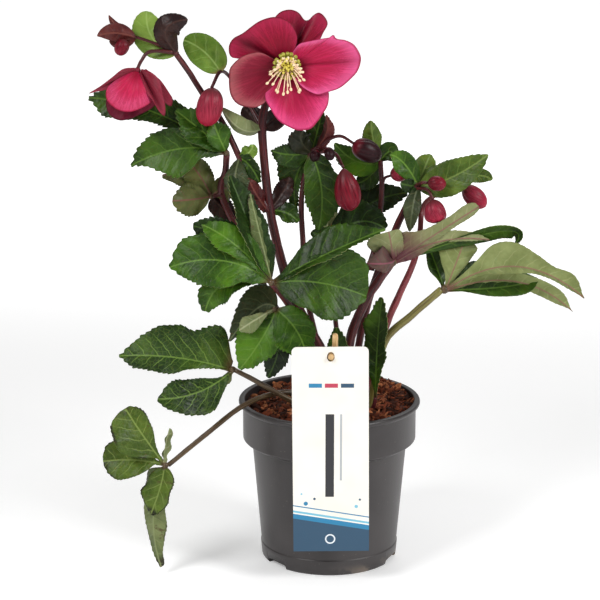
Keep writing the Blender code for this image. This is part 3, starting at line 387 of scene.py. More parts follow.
# The drawn rims of the open flower's five sepals, then those of the nodding one's
SEPALS_MAIN = [
    Sepal((-29, 359, 13), [(-35, 362, 12), (-40, 375, 10), (-40, 386, 8), (-35, 393, 6), (-28, 395, 6),
                           (-22, 393, 6), (-18, 388, 4), (-15, 388, 4), (-12, 391, 6), (-8, 393, 7),
                           (-4, 390, 7), (-2, 385, 7), (-5, 379, 7), (-9, 372, 9), (-21, 362, 12)],
          0.0, 1.0, 1.4, (0.02, 0.22, 3.0, 0.75), "sepal_top"),
    Sepal((-32, 357, 14), [(-40, 356, 14), (-57, 361, 16), (-68, 362, 16), (-70, 369, 17), (-67, 375, 17),
                           (-60, 379, 17), (-49, 387, 17), (-38, 390, 16), (-29, 387, 15), (-24, 380, 14),
                           (-23, 373, 14), (-26, 363, 14)],
          0.0, 1.0, 1.6, (-0.2, 0.1, 1.6, 0.8), "sepal_top"),
    Sepal((-32, 355, 15), [(-36, 359, 16), (-47, 365, 19), (-54, 365, 21), (-62, 362, 23), (-69, 355, 24),
                           (-70, 349, 25), (-70, 342, 25), (-69, 336, 25), (-66, 331, 25), (-61, 328, 25),
                           (-52, 327, 25), (-46, 330, 24), (-43, 334, 23), (-37, 345, 18)],
          0.0, 1.5, 0.9, (-0.1, 0.1, 0.6, 0.2), "sepal_left"),
    Sepal((-29, 353, 15), [(-35, 349, 17), (-44, 339, 21), (-45, 333, 24), (-42, 327, 26), (-36, 318, 28),
                           (-28, 313, 28), (-22, 311, 28), (-14, 312, 28), (-9, 317, 28), (-5, 323, 26),
                           (-2, 328, 24), (-1, 334, 21), (-2, 339, 19), (-11, 344, 17), (-22, 349, 16)],
          0.5, 0.0, 0.8, (0.0, 0.3, 0.6, 0.0), "sepal_low"),
    Sepal((-27, 356, 16), [(-27, 364, 15), (-22, 371, 16), (-16, 373, 17), (-6, 375, 18), (-0, 376, 19),
                           (2, 378, 20), (4, 375, 20), (10, 374, 21), (16, 371, 21), (20, 365, 21),
                           (21, 360, 21), (19, 353, 22), (15, 348, 23), (7, 341, 24), (-1, 338, 25),
                           (-8, 336, 25), (-14, 338, 24), (-20, 342, 22), (-26, 349, 18)],
          0.5, 1.0, 1.5, (0.0, 0.035, 1.3, 0.55), "sepal_right"),
]

SEPALS_LEFT = [
    Sepal((-133, 350, 15), [(-144, 345, 12), (-154, 335, 10), (-155, 327, 11), (-152, 321, 13),
                            (-146, 318, 14),
                           (-139, 319, 14), (-132, 322, 13), (-123, 327, 11), (-118, 334, 9),
                           (-125, 344, 10)],
          -3.0, 0.0, 0.5, (0.0, 0.3, 0.4, 0.3), "sepal_inside"),
    Sepal((-130, 353, 17), [(-127, 354, 16), (-122, 350, 13), (-117, 346, 11), (-111, 337, 9),
                            (-109, 333, 8),
                           (-110, 328, 8), (-114, 330, 9), (-118, 336, 10), (-124, 346, 14)],
          2.0, 0.0, 0.8, (-0.2, 0.1, 0.5, 0.3), "sepal_wing"),
    Sepal((-134, 353, 21), [(-135, 355, 20), (-143, 354, 20), (-151, 348, 20), (-159, 342, 20),
                            (-167, 337, 19),
                           (-162, 338, 21), (-154, 340, 23), (-147, 346, 24), (-138, 350, 23)],
          1.5, 0.0, 0.8, (0.15, 0.08, 0.8, 0.3), "sepal_wing"),
    Sepal((-133, 353, 21), [(-137, 353, 19), (-146, 348, 21), (-154, 341, 25), (-155, 334, 28),
                            (-152, 329, 29),
                           (-146, 325, 30), (-139, 324, 30), (-132, 326, 30), (-125, 330, 28),
                           (-123, 334, 25),
                           (-127, 344, 21), (-131, 352, 20)],
          6.0, -2.0, 0.6, (0.0, 0.3, 0.3, 0.0), "sepal_cup"),
    Sepal((-131, 353, 22), [(-130, 354, 22), (-124, 352, 23), (-118, 346, 24), (-115, 333, 26),
                            (-114, 326, 26),
                           (-115, 321, 25), (-119, 325, 27), (-123, 332, 29), (-129, 340, 28),
                           (-132, 349, 24)],
          3.0, 0.0, 0.8, (0.1, 0.08, 0.6, 0.25), "sepal_wing"),
]

# Half widths of the large leaflets, upper side then lower side, at even steps from base to tip
OUTLINES = {
    "leaf_left_low": {
        0: ((1, 1, 3, 6, 8, 9.5, 10, 8, 4), (1, 2, 9, 16, 20, 20, 18, 15, 8)),
        1: ((1, 2, 6, 10, 13, 14, 14, 11, 5), (1, 1, 6, 10, 12, 13.5, 13.5, 10, 5)),
        4: ((1.5, 14, 14, 11.5, 9.5, 8, 6, 3, 1), (1.5, 5, 5, 6.5, 8, 7.5, 6, 3.5, 3)),
    },
    "leaf_left_middle": {
        0: ((6, 26, 24, 21, 23, 21, 16, 9, 0), (2, 2, 4.5, 8.5, 12, 12, 10.5, 8, 0)),
        1: ((1, 1.5, 4.5, 7.5, 9.5, 11, 11.5, 9.5, 2), (1, 4.5, 9.5, 16.5, 18.5, 15.5, 12, 7.5, 2)),
    },
    "leaf_centre": {
        0: ((1.5, 4, 8, 10.5, 11.5, 11, 8.5, 5.5, 0), (1.5, 2.5, 3.5, 6.5, 8.5, 9.5, 8.5, 6, 0.5)),
        1: ((2, 5, 10, 11, 15, 18, 17.5, 13, 1), (2, 8, 11, 18, 20, 19, 16, 11, 1)),
        5: ((1.5, 3, 6, 11.5, 15, 16, 14, 8, 0), (1.5, 3, 4, 5, 5, 5, 4, 3, 0)),
        6: ((1.5, 6, 10, 15.5, 19.5, 23.5, 26, 22, 8), (1.5, 10.5, 16, 18.5, 23.5, 25.5, 23.5, 15.5, 4)),
    },
    "leaf_upper_left": {
        0: ((2, 12, 13, 14.5, 15, 15, 12.5, 8, 0), (2, 5, 7, 14.5, 19, 17.5, 12, 4.5, 0)),
        1: ((1.5, 6, 10, 12, 13, 12, 10, 8, 0), (1.5, 4, 5, 6, 7, 9, 11, 11, 1)),
    },
    "leaf_front": {
        0: ((1.5, 8, 14, 16, 15, 13, 10, 6, 0), (1.5, 4, 6, 8, 9, 9, 8, 5, 0)),
        1: ((1.5, 8, 13, 16, 17, 16, 13, 8, 1), (1.5, 6, 10, 12, 13, 12, 9, 6, 0)),
        2: ((1.5, 8, 11, 12, 12, 11, 8, 5, 0), (1.5, 8, 14, 17, 18, 16, 12, 7, 0)),
    },
    "leaf_spreading": {
        0: ((1.5, 5, 8, 9, 9, 9, 9, 9, 8), (1.5, 6, 10, 13, 15, 16, 16, 14, 11)),
        1: ((1, 5, 9, 11, 11, 10, 8, 5, 1), (1, 4, 6, 7, 7, 6, 5, 3, 1)),
        2: ((2, 12, 13, 9, 6, 5, 5, 6, 5), (2, 6, 6, 5, 4, 4, 4, 4, 3)),
        3: ((2, 5, 6, 7, 7, 6, 5, 3, 0.5), (2, 5, 5, 3, 2, 2, 2, 1.5, 0.5)),
    },
    "bracts_middle": {
        0: ((1.5, 5, 7, 8, 7.5, 7, 5, 3, 0), (1.5, 5, 8, 9, 9, 8, 6, 3, 0)),
        1: ((2, 13, 17, 15, 12, 9, 6, 3, 0), (2, 4, 4, 4, 4, 4, 3, 2, 0)),
    },
    "leaf_right": {
        0: ((1.5, 2.5, 5, 9, 12, 15, 17.5, 19, 14), (1.5, 2.5, 4.5, 6, 7.5, 9, 10, 11, 10)),
        2: ((1.5, 3, 8, 16, 16, 10.5, 6, 8, 0.5), (1.5, 2, 3.5, 6, 5.5, 3.5, 3, 2.5, 0.5)),
        4: ((1.5, 3, 4, 5, 6, 6, 6, 5, 0), (1.5, 3, 4, 4, 5, 5, 5, 4, 0)),
    },
}

# Upper and lower face of each blade, where they aren't the plain green ones
FACES = {
    "leaf_left_low": [("old", "under")] * 2 + [("old", "pale")] + [("old", "under")] + [("old", "dry")],
    "leaf_left_middle": [("veined", "under"), ("veined", "under"), ("pale", "pale")],
    "leaf_centre": [("bright", "under")] * 3 + [("deep", "under"),
                    ("deep", "under")] + [("green", "under")] * 2
    + [("deep", "dry")],
    "leaf_front": [("slate", "slate"), ("bright", "under"), ("bright", "under"), ("deep", "under"),
                   ("deep", "pale")],
    "leaf_upper_left": [("green", "under"), ("green", "under"), ("bright", "under"), ("bright", "under")],
    "leaf_olive": [("green", "olive")] * 3 + [("green", "purple"), ("green", "olive")],
    "leaf_back": [("green", "pale"), ("deep", "under"), ("deep", "under"), ("deep", "under")],
    "leaf_spreading": [("deep", "flushed"),
                       ("deep", "mauve")] + [("deep", "flushed")] * 2 + [("green", "under")],
    "bracts_top_left": [("young", "young"), ("purple", "purple")],
    "bracts_flower": [("pale", "pale"), ("purple", "purple"), ("purple", "purple")],
    "bract_bud": [("young", "young")],
    "bracts_fork": [("deep", "slate"), ("green", "under"), ("young", "young")],
    "bracts_low_fork": [("purple", "purple"), ("green", "under"), ("maroon", "maroon")],
    "bracts_middle": [("green", "under"), ("green", "under"), ("green", "under"), ("shadow", "shadow"),
                      ("green", "under"), ("maroon", "maroon")],
    "bracts_back": [("fresh", "fresh"), ("bright", "under"), ("green", "under"), ("green", "under")],
    "bracts_right": [("fresh", "under"), ("fresh", "under"), ("bright", "under"), ("deep", "under"),
                     ("slate", "slate")],
    "bract_far_right": [("fresh", "fresh")],
    "bracts_small_left": [("maroon", "maroon")] * 3,
}
# Tooth size, how drawn out the tip is, how lobed the outline is, and how wavy the face
CUT = {
    "leaf_left_low": (0.45, 0.6, 0.2, 1.4),
    "leaf_upper_left": (1.1, 1.0, 0.1, 1.2),
    "leaf_right": (0.25, 1.05, 0.04, 0.9),
    "leaf_spreading": (0.4, 0.95, 0.05, 0.9),
    "bracts_right": (0.4, 0.9, 0.05, 0.8),
    "bract_bud": (0.15, 0.55, 0.02, 0.4),
    "bracts_top_left": (0.25, 0.55, 0.03, 0.5),
    "bract_far_right": (0.3, 0.7, 0.02, 0.4),
    "bracts_flower": (0.1, 0.7, 0.02, 0.4),
    "bracts_small_left": (0.1, 0.8, 0.02, 0.3),
    "bracts_back": (0.5, 0.9, 0.05, 0.7),
    "leaf_olive": (0.8, 0.7, 0.08, 0.9),
}
WHOLE_CUT = (0.9, 0.82, 0.17, 1.3)

# The leaves that grow on a stem and belong to its node
BRACTS_ON = {
    "stem_main": ("bracts_flower", "bracts_fork", "bracts_low_fork", "bracts_top_left", "bract_bud",
                  "bracts_small_left"),
    "stem_middle": ("bracts_middle",),
    "stem_right": ("bracts_right", "bracts_back"),
    "stem_red": ("bract_far_right",),
    "shoot_low_right": ("leaf_low_right",),
    "shoot_low_middle": ("leaf_low_middle",),
}

chance = random.Random(7)


def seen(place):
    """The point that stands at this place when looked at from EYE."""
    across, up, toward = place
    share = 1.0 + toward / EYE.y
    return Vector((EYE.x + (across - EYE.x) * share, -toward, EYE.z + (up - EYE.z) * share))


def smooth(low, high, value):
    """0 below low, 1 above high, an easy curve between."""
    t = min(max((value - low) / (high - low), 0.0), 1.0)
    return t * t * (3.0 - 2.0 * t)


def turns(count):
    """The angles of points spread evenly round a circle."""
    return [2 * math.pi * k / count for k in range(count)]


def spoke(turn, side, up):
    """The direction at an angle that grows from side towards up."""
    return math.cos(turn) * side + math.sin(turn) * up


def circle(radius, height, sides):
    """Points round the pot's axis."""
    return [Vector((radius * math.cos(turn), radius * math.sin(turn), height)) for turn in turns(sides)]


def curved(t, before, start, end, after):
    """A value on the way from start to end, led by the values on either side of them."""
    return 0.5 * (2 * start + t * (end - before) + t * t * (2 * before - 5 * start + 4 * end - after)
                  + t ** 3 * (3 * start - before - 3 * end + after))


def spline(points, steps):
    """A smooth row of points through the given ones, `steps` to each stretch."""
    ends = [2 * points[0] - points[1]] + list(points) + [2 * points[-1] - points[-2]]
    row = [curved(k / steps, *ends[i:i + 4]) for i in range(len(points) - 1) for k in range(steps)]
    return row + [points[-1].copy()]


class Shape:
    """A mesh being put together, with notes at each point for its materials to read."""

    def __init__(self):
        self.points = []
        self.faces = []
        self.slots = []
        self.place = []
        self.share = []
        self.worn = []

    def skin(self, name):
        """The slot number of a named material, taken on when it is first worn."""
        if name not in self.worn:
            self.worn.append(name)
        return self.worn.index(name)

    def point(self, position, place=(0.0, 0.0, 0.0), share=(0.0, 0.0, 0.0)):
        self.points.append(position)
        self.place.append(place)
        self.share.append(share)
        return len(self.points) - 1

    def row(self, positions):
        return [self.point(position) for position in positions]

    def face(self, corners, slot=0):
        self.faces.append(tuple(corners))
        self.slots.append(slot)

    def grid(self, rows, slot=0, closed=False):
        """Faces between neighbouring rows of point numbers."""
        for near, far in zip(rows, rows[1:]):
            count = len(near)
            for k in range(count if closed else count - 1):
                beside = (k + 1) % count
                self.face((near[k], near[beside], far[beside], far[k]), slot)

    def barrel(self, rings, slot=0):
        """A closed skin through rings of points, with a face over each end."""
        self.grid(rings, slot, closed=True)
        self.face(reversed(rings[0]), slot)
        self.face(rings[-1], slot)

    def mesh(self, name):
        """The faces in metres, every closed part of them looking outward."""
        mesh = bpy.data.meshes.new(name)
        mesh.from_pydata([tuple(MM * c for c in p) for p in self.points], [], self.faces)
        solid = bmesh.new()
        solid.from_mesh(mesh)
        bmesh.ops.recalc_face_normals(solid, faces=solid.faces)
        solid.to_mesh(mesh)
        solid.free()
        return mesh

    def finish(self, name, replaces, slot, smooth_shading=True):
        """The piece, fixed to the plant, that stands for its plain solid."""
        mesh = self.mesh(name)
        for skin in self.worn:
            mesh.materials.append(SKINS[skin])
        mesh.polygons.foreach_set("material_index", self.slots)
        mesh.polygons.foreach_set("use_smooth", [smooth_shading] * len(mesh.polygons))
        for title, values in (("place", self.place), ("share", self.share)):
            layer = mesh.attributes.new(title, "FLOAT_VECTOR", "POINT")
            layer.data.foreach_set("vector", [c for value in values for c in value])
        mesh.validate()
        mesh.update()
        obj = place_in_scene(name, mesh)
        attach(obj, "root")
        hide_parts(replaces)
        return obj


def place_in_scene(name, data):
    """A new object in the scene."""
    obj = bpy.data.objects.new(name, data)
    bpy.context.scene.collection.objects.link(obj)
    return obj


# Materials

class Nodes:
    """Short ways to wire one material."""

    def __init__(self, name):
        self.material = bpy.data.materials.new(name)
        self.material.use_nodes = True
        self.tree = self.material.node_tree
        self.shader = self.tree.nodes["Principled BSDF"]

    def add(self, kind, inputs=(), **settings):
        node = self.tree.nodes.new(kind)
        for key, value in settings.items():
            setattr(node, key, value)
        for key, value in dict(inputs).items():
            self.plug(value, node.inputs[key])
        return node

    def plug(self, value, socket):
        if isinstance(value, bpy.types.NodeSocket):
            self.tree.links.new(value, socket)
        else:
            socket.default_value = value

    def math(self, operation, a, b=0.0):
        return self.add("ShaderNodeMath", {0: a, 1: b}, operation=operation).outputs[0]

    def plus(self, a, b):
        return self.math("ADD", a, b)

    def minus(self, a, b):
        return self.math("SUBTRACT", a, b)

    def times(self, a, b):
        return self.math("MULTIPLY", a, b)

    def ramp(self, value, low, high, start=0.0, end=1.0):
        """A value read between low and high, eased and laid between start and end."""
        node = self.add("ShaderNodeMapRange", {0: value, 1: low, 2: high, 3: start, 4: end},
                        interpolation_type="SMOOTHSTEP")
        return node.outputs[0]

    def mix(self, share, first, second):
        node = self.add("ShaderNodeMix", data_type="RGBA")
        self.plug(share, node.inputs[0])
        self.plug(colour(first), node.inputs[6])
        self.plug(colour(second), node.inputs[7])
        return node.outputs[2]

    def lay(self, under, over, value, low, high, share=1.0):
        """One tone laid over another as far as a value has gone from low to high."""
        return self.mix(self.ramp(value, low, high, 0.0, share), under, over)

    def split(self, vector):
        """The x, y and z of a vector."""
        return tuple(self.add("ShaderNodeSeparateXYZ", {0: vector}).outputs)

    def note(self, name):
        """The three values of a note kept at the points."""
        return self.split(self.add("ShaderNodeAttribute", attribute_name=name).outputs["Vector"])

    def vector(self, x, y, z):
        return self.add("ShaderNodeCombineXYZ", {0: x, 1: y, 2: z}).outputs[0]

    def place(self):
        return self.add("ShaderNodeTexCoord").outputs["Object"]

    def noise(self, vector, scale, detail=3.0, roughness=0.55):
        inputs = {"Vector": vector, "Scale": scale, "Detail": detail, "Roughness": roughness}
        return self.add("ShaderNodeTexNoise", inputs).outputs[0]

    def cells(self, vector, scale, feature="F1"):
        inputs = {"Vector": vector, "Scale": scale}
        return self.add("ShaderNodeTexVoronoi", inputs, feature=feature).outputs[0]

    def finish(self, tone, rough, specular, relief=None, flesh=0.0):
        """Sets the shader. Relief is a height, its depth in millimetres and its strength."""
        values = {"Base Color": colour(tone), "Roughness": rough, "Specular IOR Level": specular,
                  "Subsurface Weight": flesh, "Subsurface Scale": 0.002}
        if relief:
            height, depth, strength = relief
            inputs = {"Height": height, "Distance": depth * MM, "Strength": strength}
            values["Normal"] = self.add("ShaderNodeBump", inputs).outputs[0]
        for key, value in values.items():
            self.plug(value, self.shader.inputs[key])
        return self.material


def colour(value):
    """A colour given as 0-255 screen values, made linear, or a socket left as it is."""
    if isinstance(value, bpy.types.NodeSocket):
        return value
    parts = [part / 255.0 for part in value]
    return (*(c / 12.92 if c <= 0.04045 else ((c + 0.055) / 1.055) ** 2.4 for c in parts), 1.0)


def leaf_material(name, dark, light, vein, stalk, gloss=0.4, vein_share=0.4, net_share=0.35, bright=None,
                  blotch=None, edge=None, rib=None, flush=None):
    """Leathery leaf face: thin side veins off a rib, a fine net between them, patchy tone that is partly
    painted light and shade, and painted highlight patches.
    """
    n = Nodes(name)
    along, across, tint = n.note("place")
    share, out = n.note("share")[:2]
    spot = n.vector(along, across, n.times(tint, 300.0))
    distance = n.math("ABSOLUTE", across)
    wobble = n.times(n.minus(n.noise(spot, 0.14, 2.0), 0.5), 5.0)
    side = n.times(n.math("SIGN", across), 0.25 * VEIN_SPACING)
    forward = n.plus(n.times(distance, VEIN_SLANT), n.times(n.times(distance, distance), 0.014))
    step = n.plus(n.minus(along, forward), n.plus(wobble, side))
    off = n.math("PINGPONG", step, VEIN_SPACING / 2)
    side_vein = n.times(n.ramp(off, 0.65, 0.1), n.ramp(out, 1.0, 0.5))
    net = n.cells(n.vector(n.plus(along, wobble), across, tint), 0.3, "DISTANCE_TO_EDGE")
    lines = n.math("MAXIMUM", side_vein, n.ramp(net, 0.07, 0.0, 0.0, net_share))
    # patches of dark and light tone: partly the leaf's own mottling, partly painted light and shade
    patch = n.noise(spot, 0.045, 4.0, 0.6)
    tone = n.lay(dark, light, patch, 0.36, 0.66)
    tone = n.lay(tone, dark, n.noise(n.vector(tint, tint, tint), 40.0, 0.0), 0.3, 0.7, 0.3)
    # painted highlight: large bright yellow-green patches
    if bright:
        tone = n.lay(tone, bright, n.noise(spot, 0.03, 3.0), 0.5, 0.68, 0.8)
    if blotch:
        tone = n.lay(tone, blotch, n.noise(spot, 0.12, 5.0, 0.7), 0.6, 0.7)
    if edge:
        burn = n.ramp(n.math("MAXIMUM", out, share), 0.86, 0.96)
        tone = n.mix(n.times(burn, n.ramp(n.noise(spot, 0.05, 2.0), 0.42, 0.55)), tone, edge)
    tone = n.mix(n.times(lines, vein_share), tone, vein)
    tone = n.lay(tone, rib or vein, distance, 0.8, 0.25, 0.75)
    if flush:
        streak = n.noise(n.vector(n.times(along, 0.02), n.times(across, 0.5), tint), 1.5, 2.0)
        tone = n.mix(n.times(n.ramp(share, 0.6, 0.1), n.ramp(streak, 0.25, 0.6, 0.45, 1.0)), tone, flush)
    tone = n.lay(tone, stalk, share, 0.1, 0.0)
    pucker = n.plus(n.ramp(net, 0.0, 0.4, 0.0, 0.4), n.ramp(off, 0.0, 3.0, 0.0, 0.7))
    height = n.plus(pucker, n.times(n.noise(spot, 1.6, 2.0), 0.12))
    rough = n.ramp(patch, 0.3, 0.7, gloss - 0.04, gloss + 0.1)
    return n.finish(tone, rough, 0.22, (height, 0.4, 0.6), flesh=0.05)


def sepal_material(name, deep, mid, light, base, tip, tip_share=0.6):
    """Silky petal face: fine veins fanning from the root, lighter toward the rim, with painted shade in
    its folds.
    """
    n = Nodes(name)
    along, across, tint = n.note("place")
    share, side, fold = n.note("share")
    streak = n.noise(n.vector(n.times(share, 1.2), n.times(side, 12.0), tint), 2.2, 4.0, 0.62)
    thread = n.math("ABSOLUTE", n.minus(streak, 0.5))
    spot = n.vector(along, across, n.times(tint, 100.0))
    tone = n.lay(mid, light, share, 0.5, 1.0)
    tone = n.lay(tone, mid, n.noise(spot, 0.05, 3.0), 0.42, 0.64, 0.6)
    tone = n.lay(tone, deep, streak, 0.42, 0.64, 0.42)
    tone = n.lay(tone, deep, thread, 0.03, 0.0, 0.65)
    tone = n.lay(tone, base, share, 0.4, 0.08)
    tone = n.lay(tone, tip, share, 0.72, 1.0, tip_share)
    # painted shade: the crease darkened toward a near-black crimson by the shade note
    tone = n.mix(fold, tone, n.mix(0.5, deep, (52, 8, 22)))
    tone = n.lay(tone, deep, share, 0.955, 0.99, 0.75)
    height = n.plus(streak, n.times(n.noise(spot, 0.9, 2.0), 0.2))
    return n.finish(tone, 0.46, 0.16, (height, 0.3, 0.6), flesh=0.06)


def stem_material(name, dark, light, fleck):
    """Smooth fleshy stalk with long streaks and small flecks."""
    n = Nodes(name)
    along, turn, tint = n.note("place")
    streak = n.noise(n.vector(n.times(along, 0.03), n.times(turn, 2.2), tint), 1.5, 4.0, 0.6)
    dots = n.noise(n.vector(n.times(along, 0.4), n.times(turn, 4.0), tint), 2.0, 2.0)
    tone = n.lay(n.lay(dark, light, streak, 0.38, 0.64), fleck, dots, 0.66, 0.74)
    return n.finish(tone, 0.34, 0.32, (streak, 0.25, 0.5), flesh=0.05)


def bud_material(name, dark, light, glow, foot=(84, 40, 42), seam_share=0.9):
    """Silky bud with darker seams between its sepals and a lighter belly."""
    n = Nodes(name)
    turn, tint = n.note("place")[1:]
    share, seam = n.note("share")[:2]
    streak = n.noise(n.vector(share, n.times(turn, 3.5), tint), 2.5, 4.0)
    tone = n.lay(dark, light, streak, 0.36, 0.66)
    tone = n.lay(tone, glow, share, 0.5, 0.95, 0.7)
    tone = n.lay(tone, (52, 10, 22), seam, 0.4, 1.0, seam_share)
    tone = n.lay(tone, foot, share, 0.3, 0.02, 0.8)
    return n.finish(tone, 0.38, 0.2, (streak, 0.2, 0.5), flesh=0.06)


def mottled_material(name, dark, light):
    """Small fleshy parts, each patch its own tone."""
    n = Nodes(name)
    patch = n.noise(n.place(), 400.0, 3.0)
    return n.finish(n.lay(dark, light, patch, 0.35, 0.65), 0.45, 0.4, (patch, 0.2, 0.5))


def pot_material():
    """Dark warm-grey plastic, scuffed, with dust caught low on the wall."""
    n = Nodes("pot plastic")
    place = n.place()
    x, y, z = n.split(place)
    drawn = n.vector(n.times(n.math("ARCTAN2", y, x), 0.6), n.times(z, 12.0), 0.0)
    cloud = n.noise(place, 14.0, 4.0)
    tone = n.lay((48, 44, 44), (64, 60, 60), cloud, 0.35, 0.7)
    dust = n.times(n.ramp(z, 0.009, 0.0), n.ramp(n.noise(place, 60.0, 4.0), 0.52, 0.66))
    tone = n.mix(n.times(dust, n.ramp(x, 0.0, 0.04, 0.12, 0.8)), tone, (142, 128, 112))
    tone = n.lay(tone, (120, 112, 104), n.cells(place, 210.0), 0.09, 0.05, 0.4)
    height = n.plus(n.times(n.noise(drawn, 6.0, 3.0), 0.4), n.noise(place, 700.0, 2.0))
    return n.finish(tone, n.ramp(cloud, 0.3, 0.7, 0.32, 0.44), 0.42, (height, 0.12, 0.35))


def soil_material():
    """Damp reddish bark and peat, each chip its own tone."""
    n = Nodes("soil")
    tint = n.note("place")[2]
    grain = n.noise(n.place(), 420.0, 4.0, 0.65)
    tone = n.lay((44, 20, 12), (118, 56, 32), tint, 0.15, 0.5)
    tone = n.lay(tone, (186, 116, 76), tint, 0.72, 0.98)
    tone = n.lay(tone, (44, 24, 17), grain, 0.35, 0.7, 0.6)
    return n.finish(tone, 0.85, 0.2, (grain, 0.8, 0.8))


def card_material():
    """White card, with a slate-blue foot under plain stripes, dots and short bars."""
    n = Nodes("card face")
    place = n.place()
    x, y, z = (n.times(part, 1 / MM) for part in n.split(place))
    up = n.minus(z, CARD_BOTTOM)
    tone = n.lay((246, 243, 234), (240, 236, 226), n.noise(place, 30.0, 2.0), 0.3, 0.7)

    def between(value, low, high):
        return n.times(n.math("GREATER_THAN", value, low), n.math("LESS_THAN", value, high))

    slope = n.plus(up, n.times(x, STRIPE_SLANT))
    for low, high, paint in CARD_STRIPES:
        tone = n.mix(between(slope, low, high), tone, paint)
    for across, height, radius, paint in CARD_DOTS:
        dx, dz = n.minus(x, across), n.minus(up, height)
        reach = n.plus(n.times(dx, dx), n.times(dz, dz))
        tone = n.mix(n.math("LESS_THAN", reach, radius * radius), tone, paint)
    for left, right, low, high, paint in CARD_BARS:
        tone = n.mix(n.times(between(x, left, right), between(up, low, high)), tone, paint)
    return n.finish(tone, 0.32, 0.45)


def bamboo_material():
    """Pale split bamboo with long fibres."""
    n = Nodes("bamboo")
    stretch = {"Vector": n.place(), "Scale": (900.0, 900.0, 30.0)}
    fibre = n.noise(n.add("ShaderNodeMapping", stretch).outputs[0], 1.0, 3.0)
    tone = n.lay((196, 156, 104), (222, 188, 138), fibre, 0.35, 0.65)
    return n.finish(tone, 0.55, 0.3, (fibre, 0.2, 0.5))


# Leaves and sepals

def width_at(t, widest, fall=0.8):
    """Share of a blade's full half width at a share of its length."""
    rise = fall * widest / (1.0 - widest)
    peak = widest ** rise * (1.0 - widest) ** fall
    return t ** rise * (1.0 - t) ** fall / peak


def drawn_half(widths, t):
    """The half width at a share of the length, through widths at even steps, rounded off at the tip."""
    last = len(widths) - 1
    k = min(int(t * last), last - 1)
    beside = (widths[min(max(i, 0), last)] for i in range(k - 1, k + 3))
    close = max(t - TIP_START, 0.0) / (1.0 - TIP_START)
    return max(curved(t * last - k, *beside), 0.0) * math.sqrt(max(1.0 - close * close, 0.0))


def tooth_at(turn, jitter):
    """How far a tooth stands out at a place in its step: a slow rise and a quick fall."""
    phase = turn % 1.0
    rise = phase / TOOTH_PEAK if phase < TOOTH_PEAK else (1.0 - phase) / (1.0 - TOOTH_PEAK)
    return rise * jitter[int(turn)]


class BladeCurve:
    """The bent rib of a blade and the directions across and out of its face."""

    def __init__(self, blade):
        self.blade = blade
        self.base, middle, self.tip = (seen(place) for place in (blade.base, blade.middle, blade.tip))
        self.bend = 2 * middle - 0.5 * (self.base + self.tip)
        self.length = (middle - self.base).length + (self.tip - middle).length
        self.view = (EYE - middle).normalized()
        chord = (self.tip - self.base).normalized()
        self.flip = -1.0 if self.square_to(chord).cross(chord).z < 0.0 else 1.0

    def square_to(self, along):
        """The direction nearest the eye that is square to this one."""
        return (self.view - self.view.dot(along) * along).normalized()

    def frame(self, t):
        """The rib's place at a share of its length, and the directions along, across and out."""
        centre = (1 - t) ** 2 * self.base + 2 * t * (1 - t) * self.bend + t * t * self.tip
        along = ((1 - t) * (self.bend - self.base) + t * (self.tip - self.bend)).normalized()
        facing = self.square_to(along)
        across = facing.cross(along) * self.flip
        tilt = math.radians(self.blade.tilt)
        face = math.cos(tilt) * facing + math.sin(tilt) * across
        side = math.cos(tilt) * across - math.sin(tilt) * facing
        return centre, along, side, face * self.blade.side


def add_blade(shape, blade, cut, start_half, skins, outline):
    """A toothed leaflet with a sunken rib, raised panels between veins and a wavy edge."""
    tooth, fall, lobe, wave = cut
    lobe *= 0.4 if outline else 1.0
    curve = BladeCurve(blade)
    length = curve.length
    teeth = max(4, round(length / min(max(length / 17.0, TOOTH_STEPS[0]), TOOTH_STEPS[1])))
    rows = teeth * 5 if blade.half_width > 5 else teeth * 4
    reach = 8 if blade.half_width > 9 else 5
    columns = [math.sin(0.5 * math.pi * j / reach) * 0.35 + 0.65 * j / reach
               for j in range(-reach, reach + 1)]
    tint = chance.random()
    phases = [chance.uniform(0, 6.28) for k in range(4)]
    jitter = [[chance.uniform(0.45, 1.5) for k in range(teeth + 1)] for side in range(2)]
    fine = tooth * min(1.0, blade.half_width / 10.0)
    rise = math.tan(math.radians(blade.fold))
    sheets = []
    for layer in (1, -1):
        sheet = []
        for i in range(rows + 1):
            t = i / rows
            centre, along, side, face = curve.frame(t)
            least = start_half * (1 - t) + 0.12
            if outline:
                halves = [max(drawn_half(widths, t), least) for widths in outline]
            else:
                halves = [max(blade.half_width * width_at(t, blade.widest, fall), least)] * 2
            row = []
            for u in columns:
                lower = 0 if u >= 0 else 1
                edge = abs(u)
                uneven = noise.noise(Vector((t * length * 0.085, lower * 7.0, tint * 60.0)))
                half = halves[lower] * (1.0 + 1.6 * lobe * uneven * smooth(0.05, 0.3, t))
                out = tooth_at(t * teeth, jitter[lower]) * fine * smooth(0.03, 0.15, t)
                out *= smooth(0.7, 1.0, edge)
                offset = half * u + math.copysign(out, u)
                lift = rise * half * edge ** 1.4
                swell = wave * u * u * smooth(0.0, 0.2, t) * (1.0 - 0.4 * t)
                lift += swell * math.sin(4.6 * math.pi * t + phases[1 + lower])
                vein = (t * length - abs(offset) * VEIN_SLANT) / VEIN_SPACING + 0.25 * lower
                panel = abs(math.sin(math.pi * vein))
                lift += PANEL_RISE * (panel - 0.4) * smooth(0.0, 0.25, edge) * smooth(1.0, 0.7, edge)
                rib = math.exp(-offset ** 2)
                keel = RIB_KEEL * rib * (1.0 - 0.7 * t) if layer < 0 else 0.0
                lift += layer * (BLADE_THICKNESS / 2 + keel) - RIB_DEPTH * rib
                position = centre + side * offset + face * lift + along * out * 0.9
                row.append(shape.point(position, (t * length, offset, tint), (t, edge, half)))
            sheet.append(row)
        sheets.append(sheet)
    close_sheet(shape, sheets, skins)


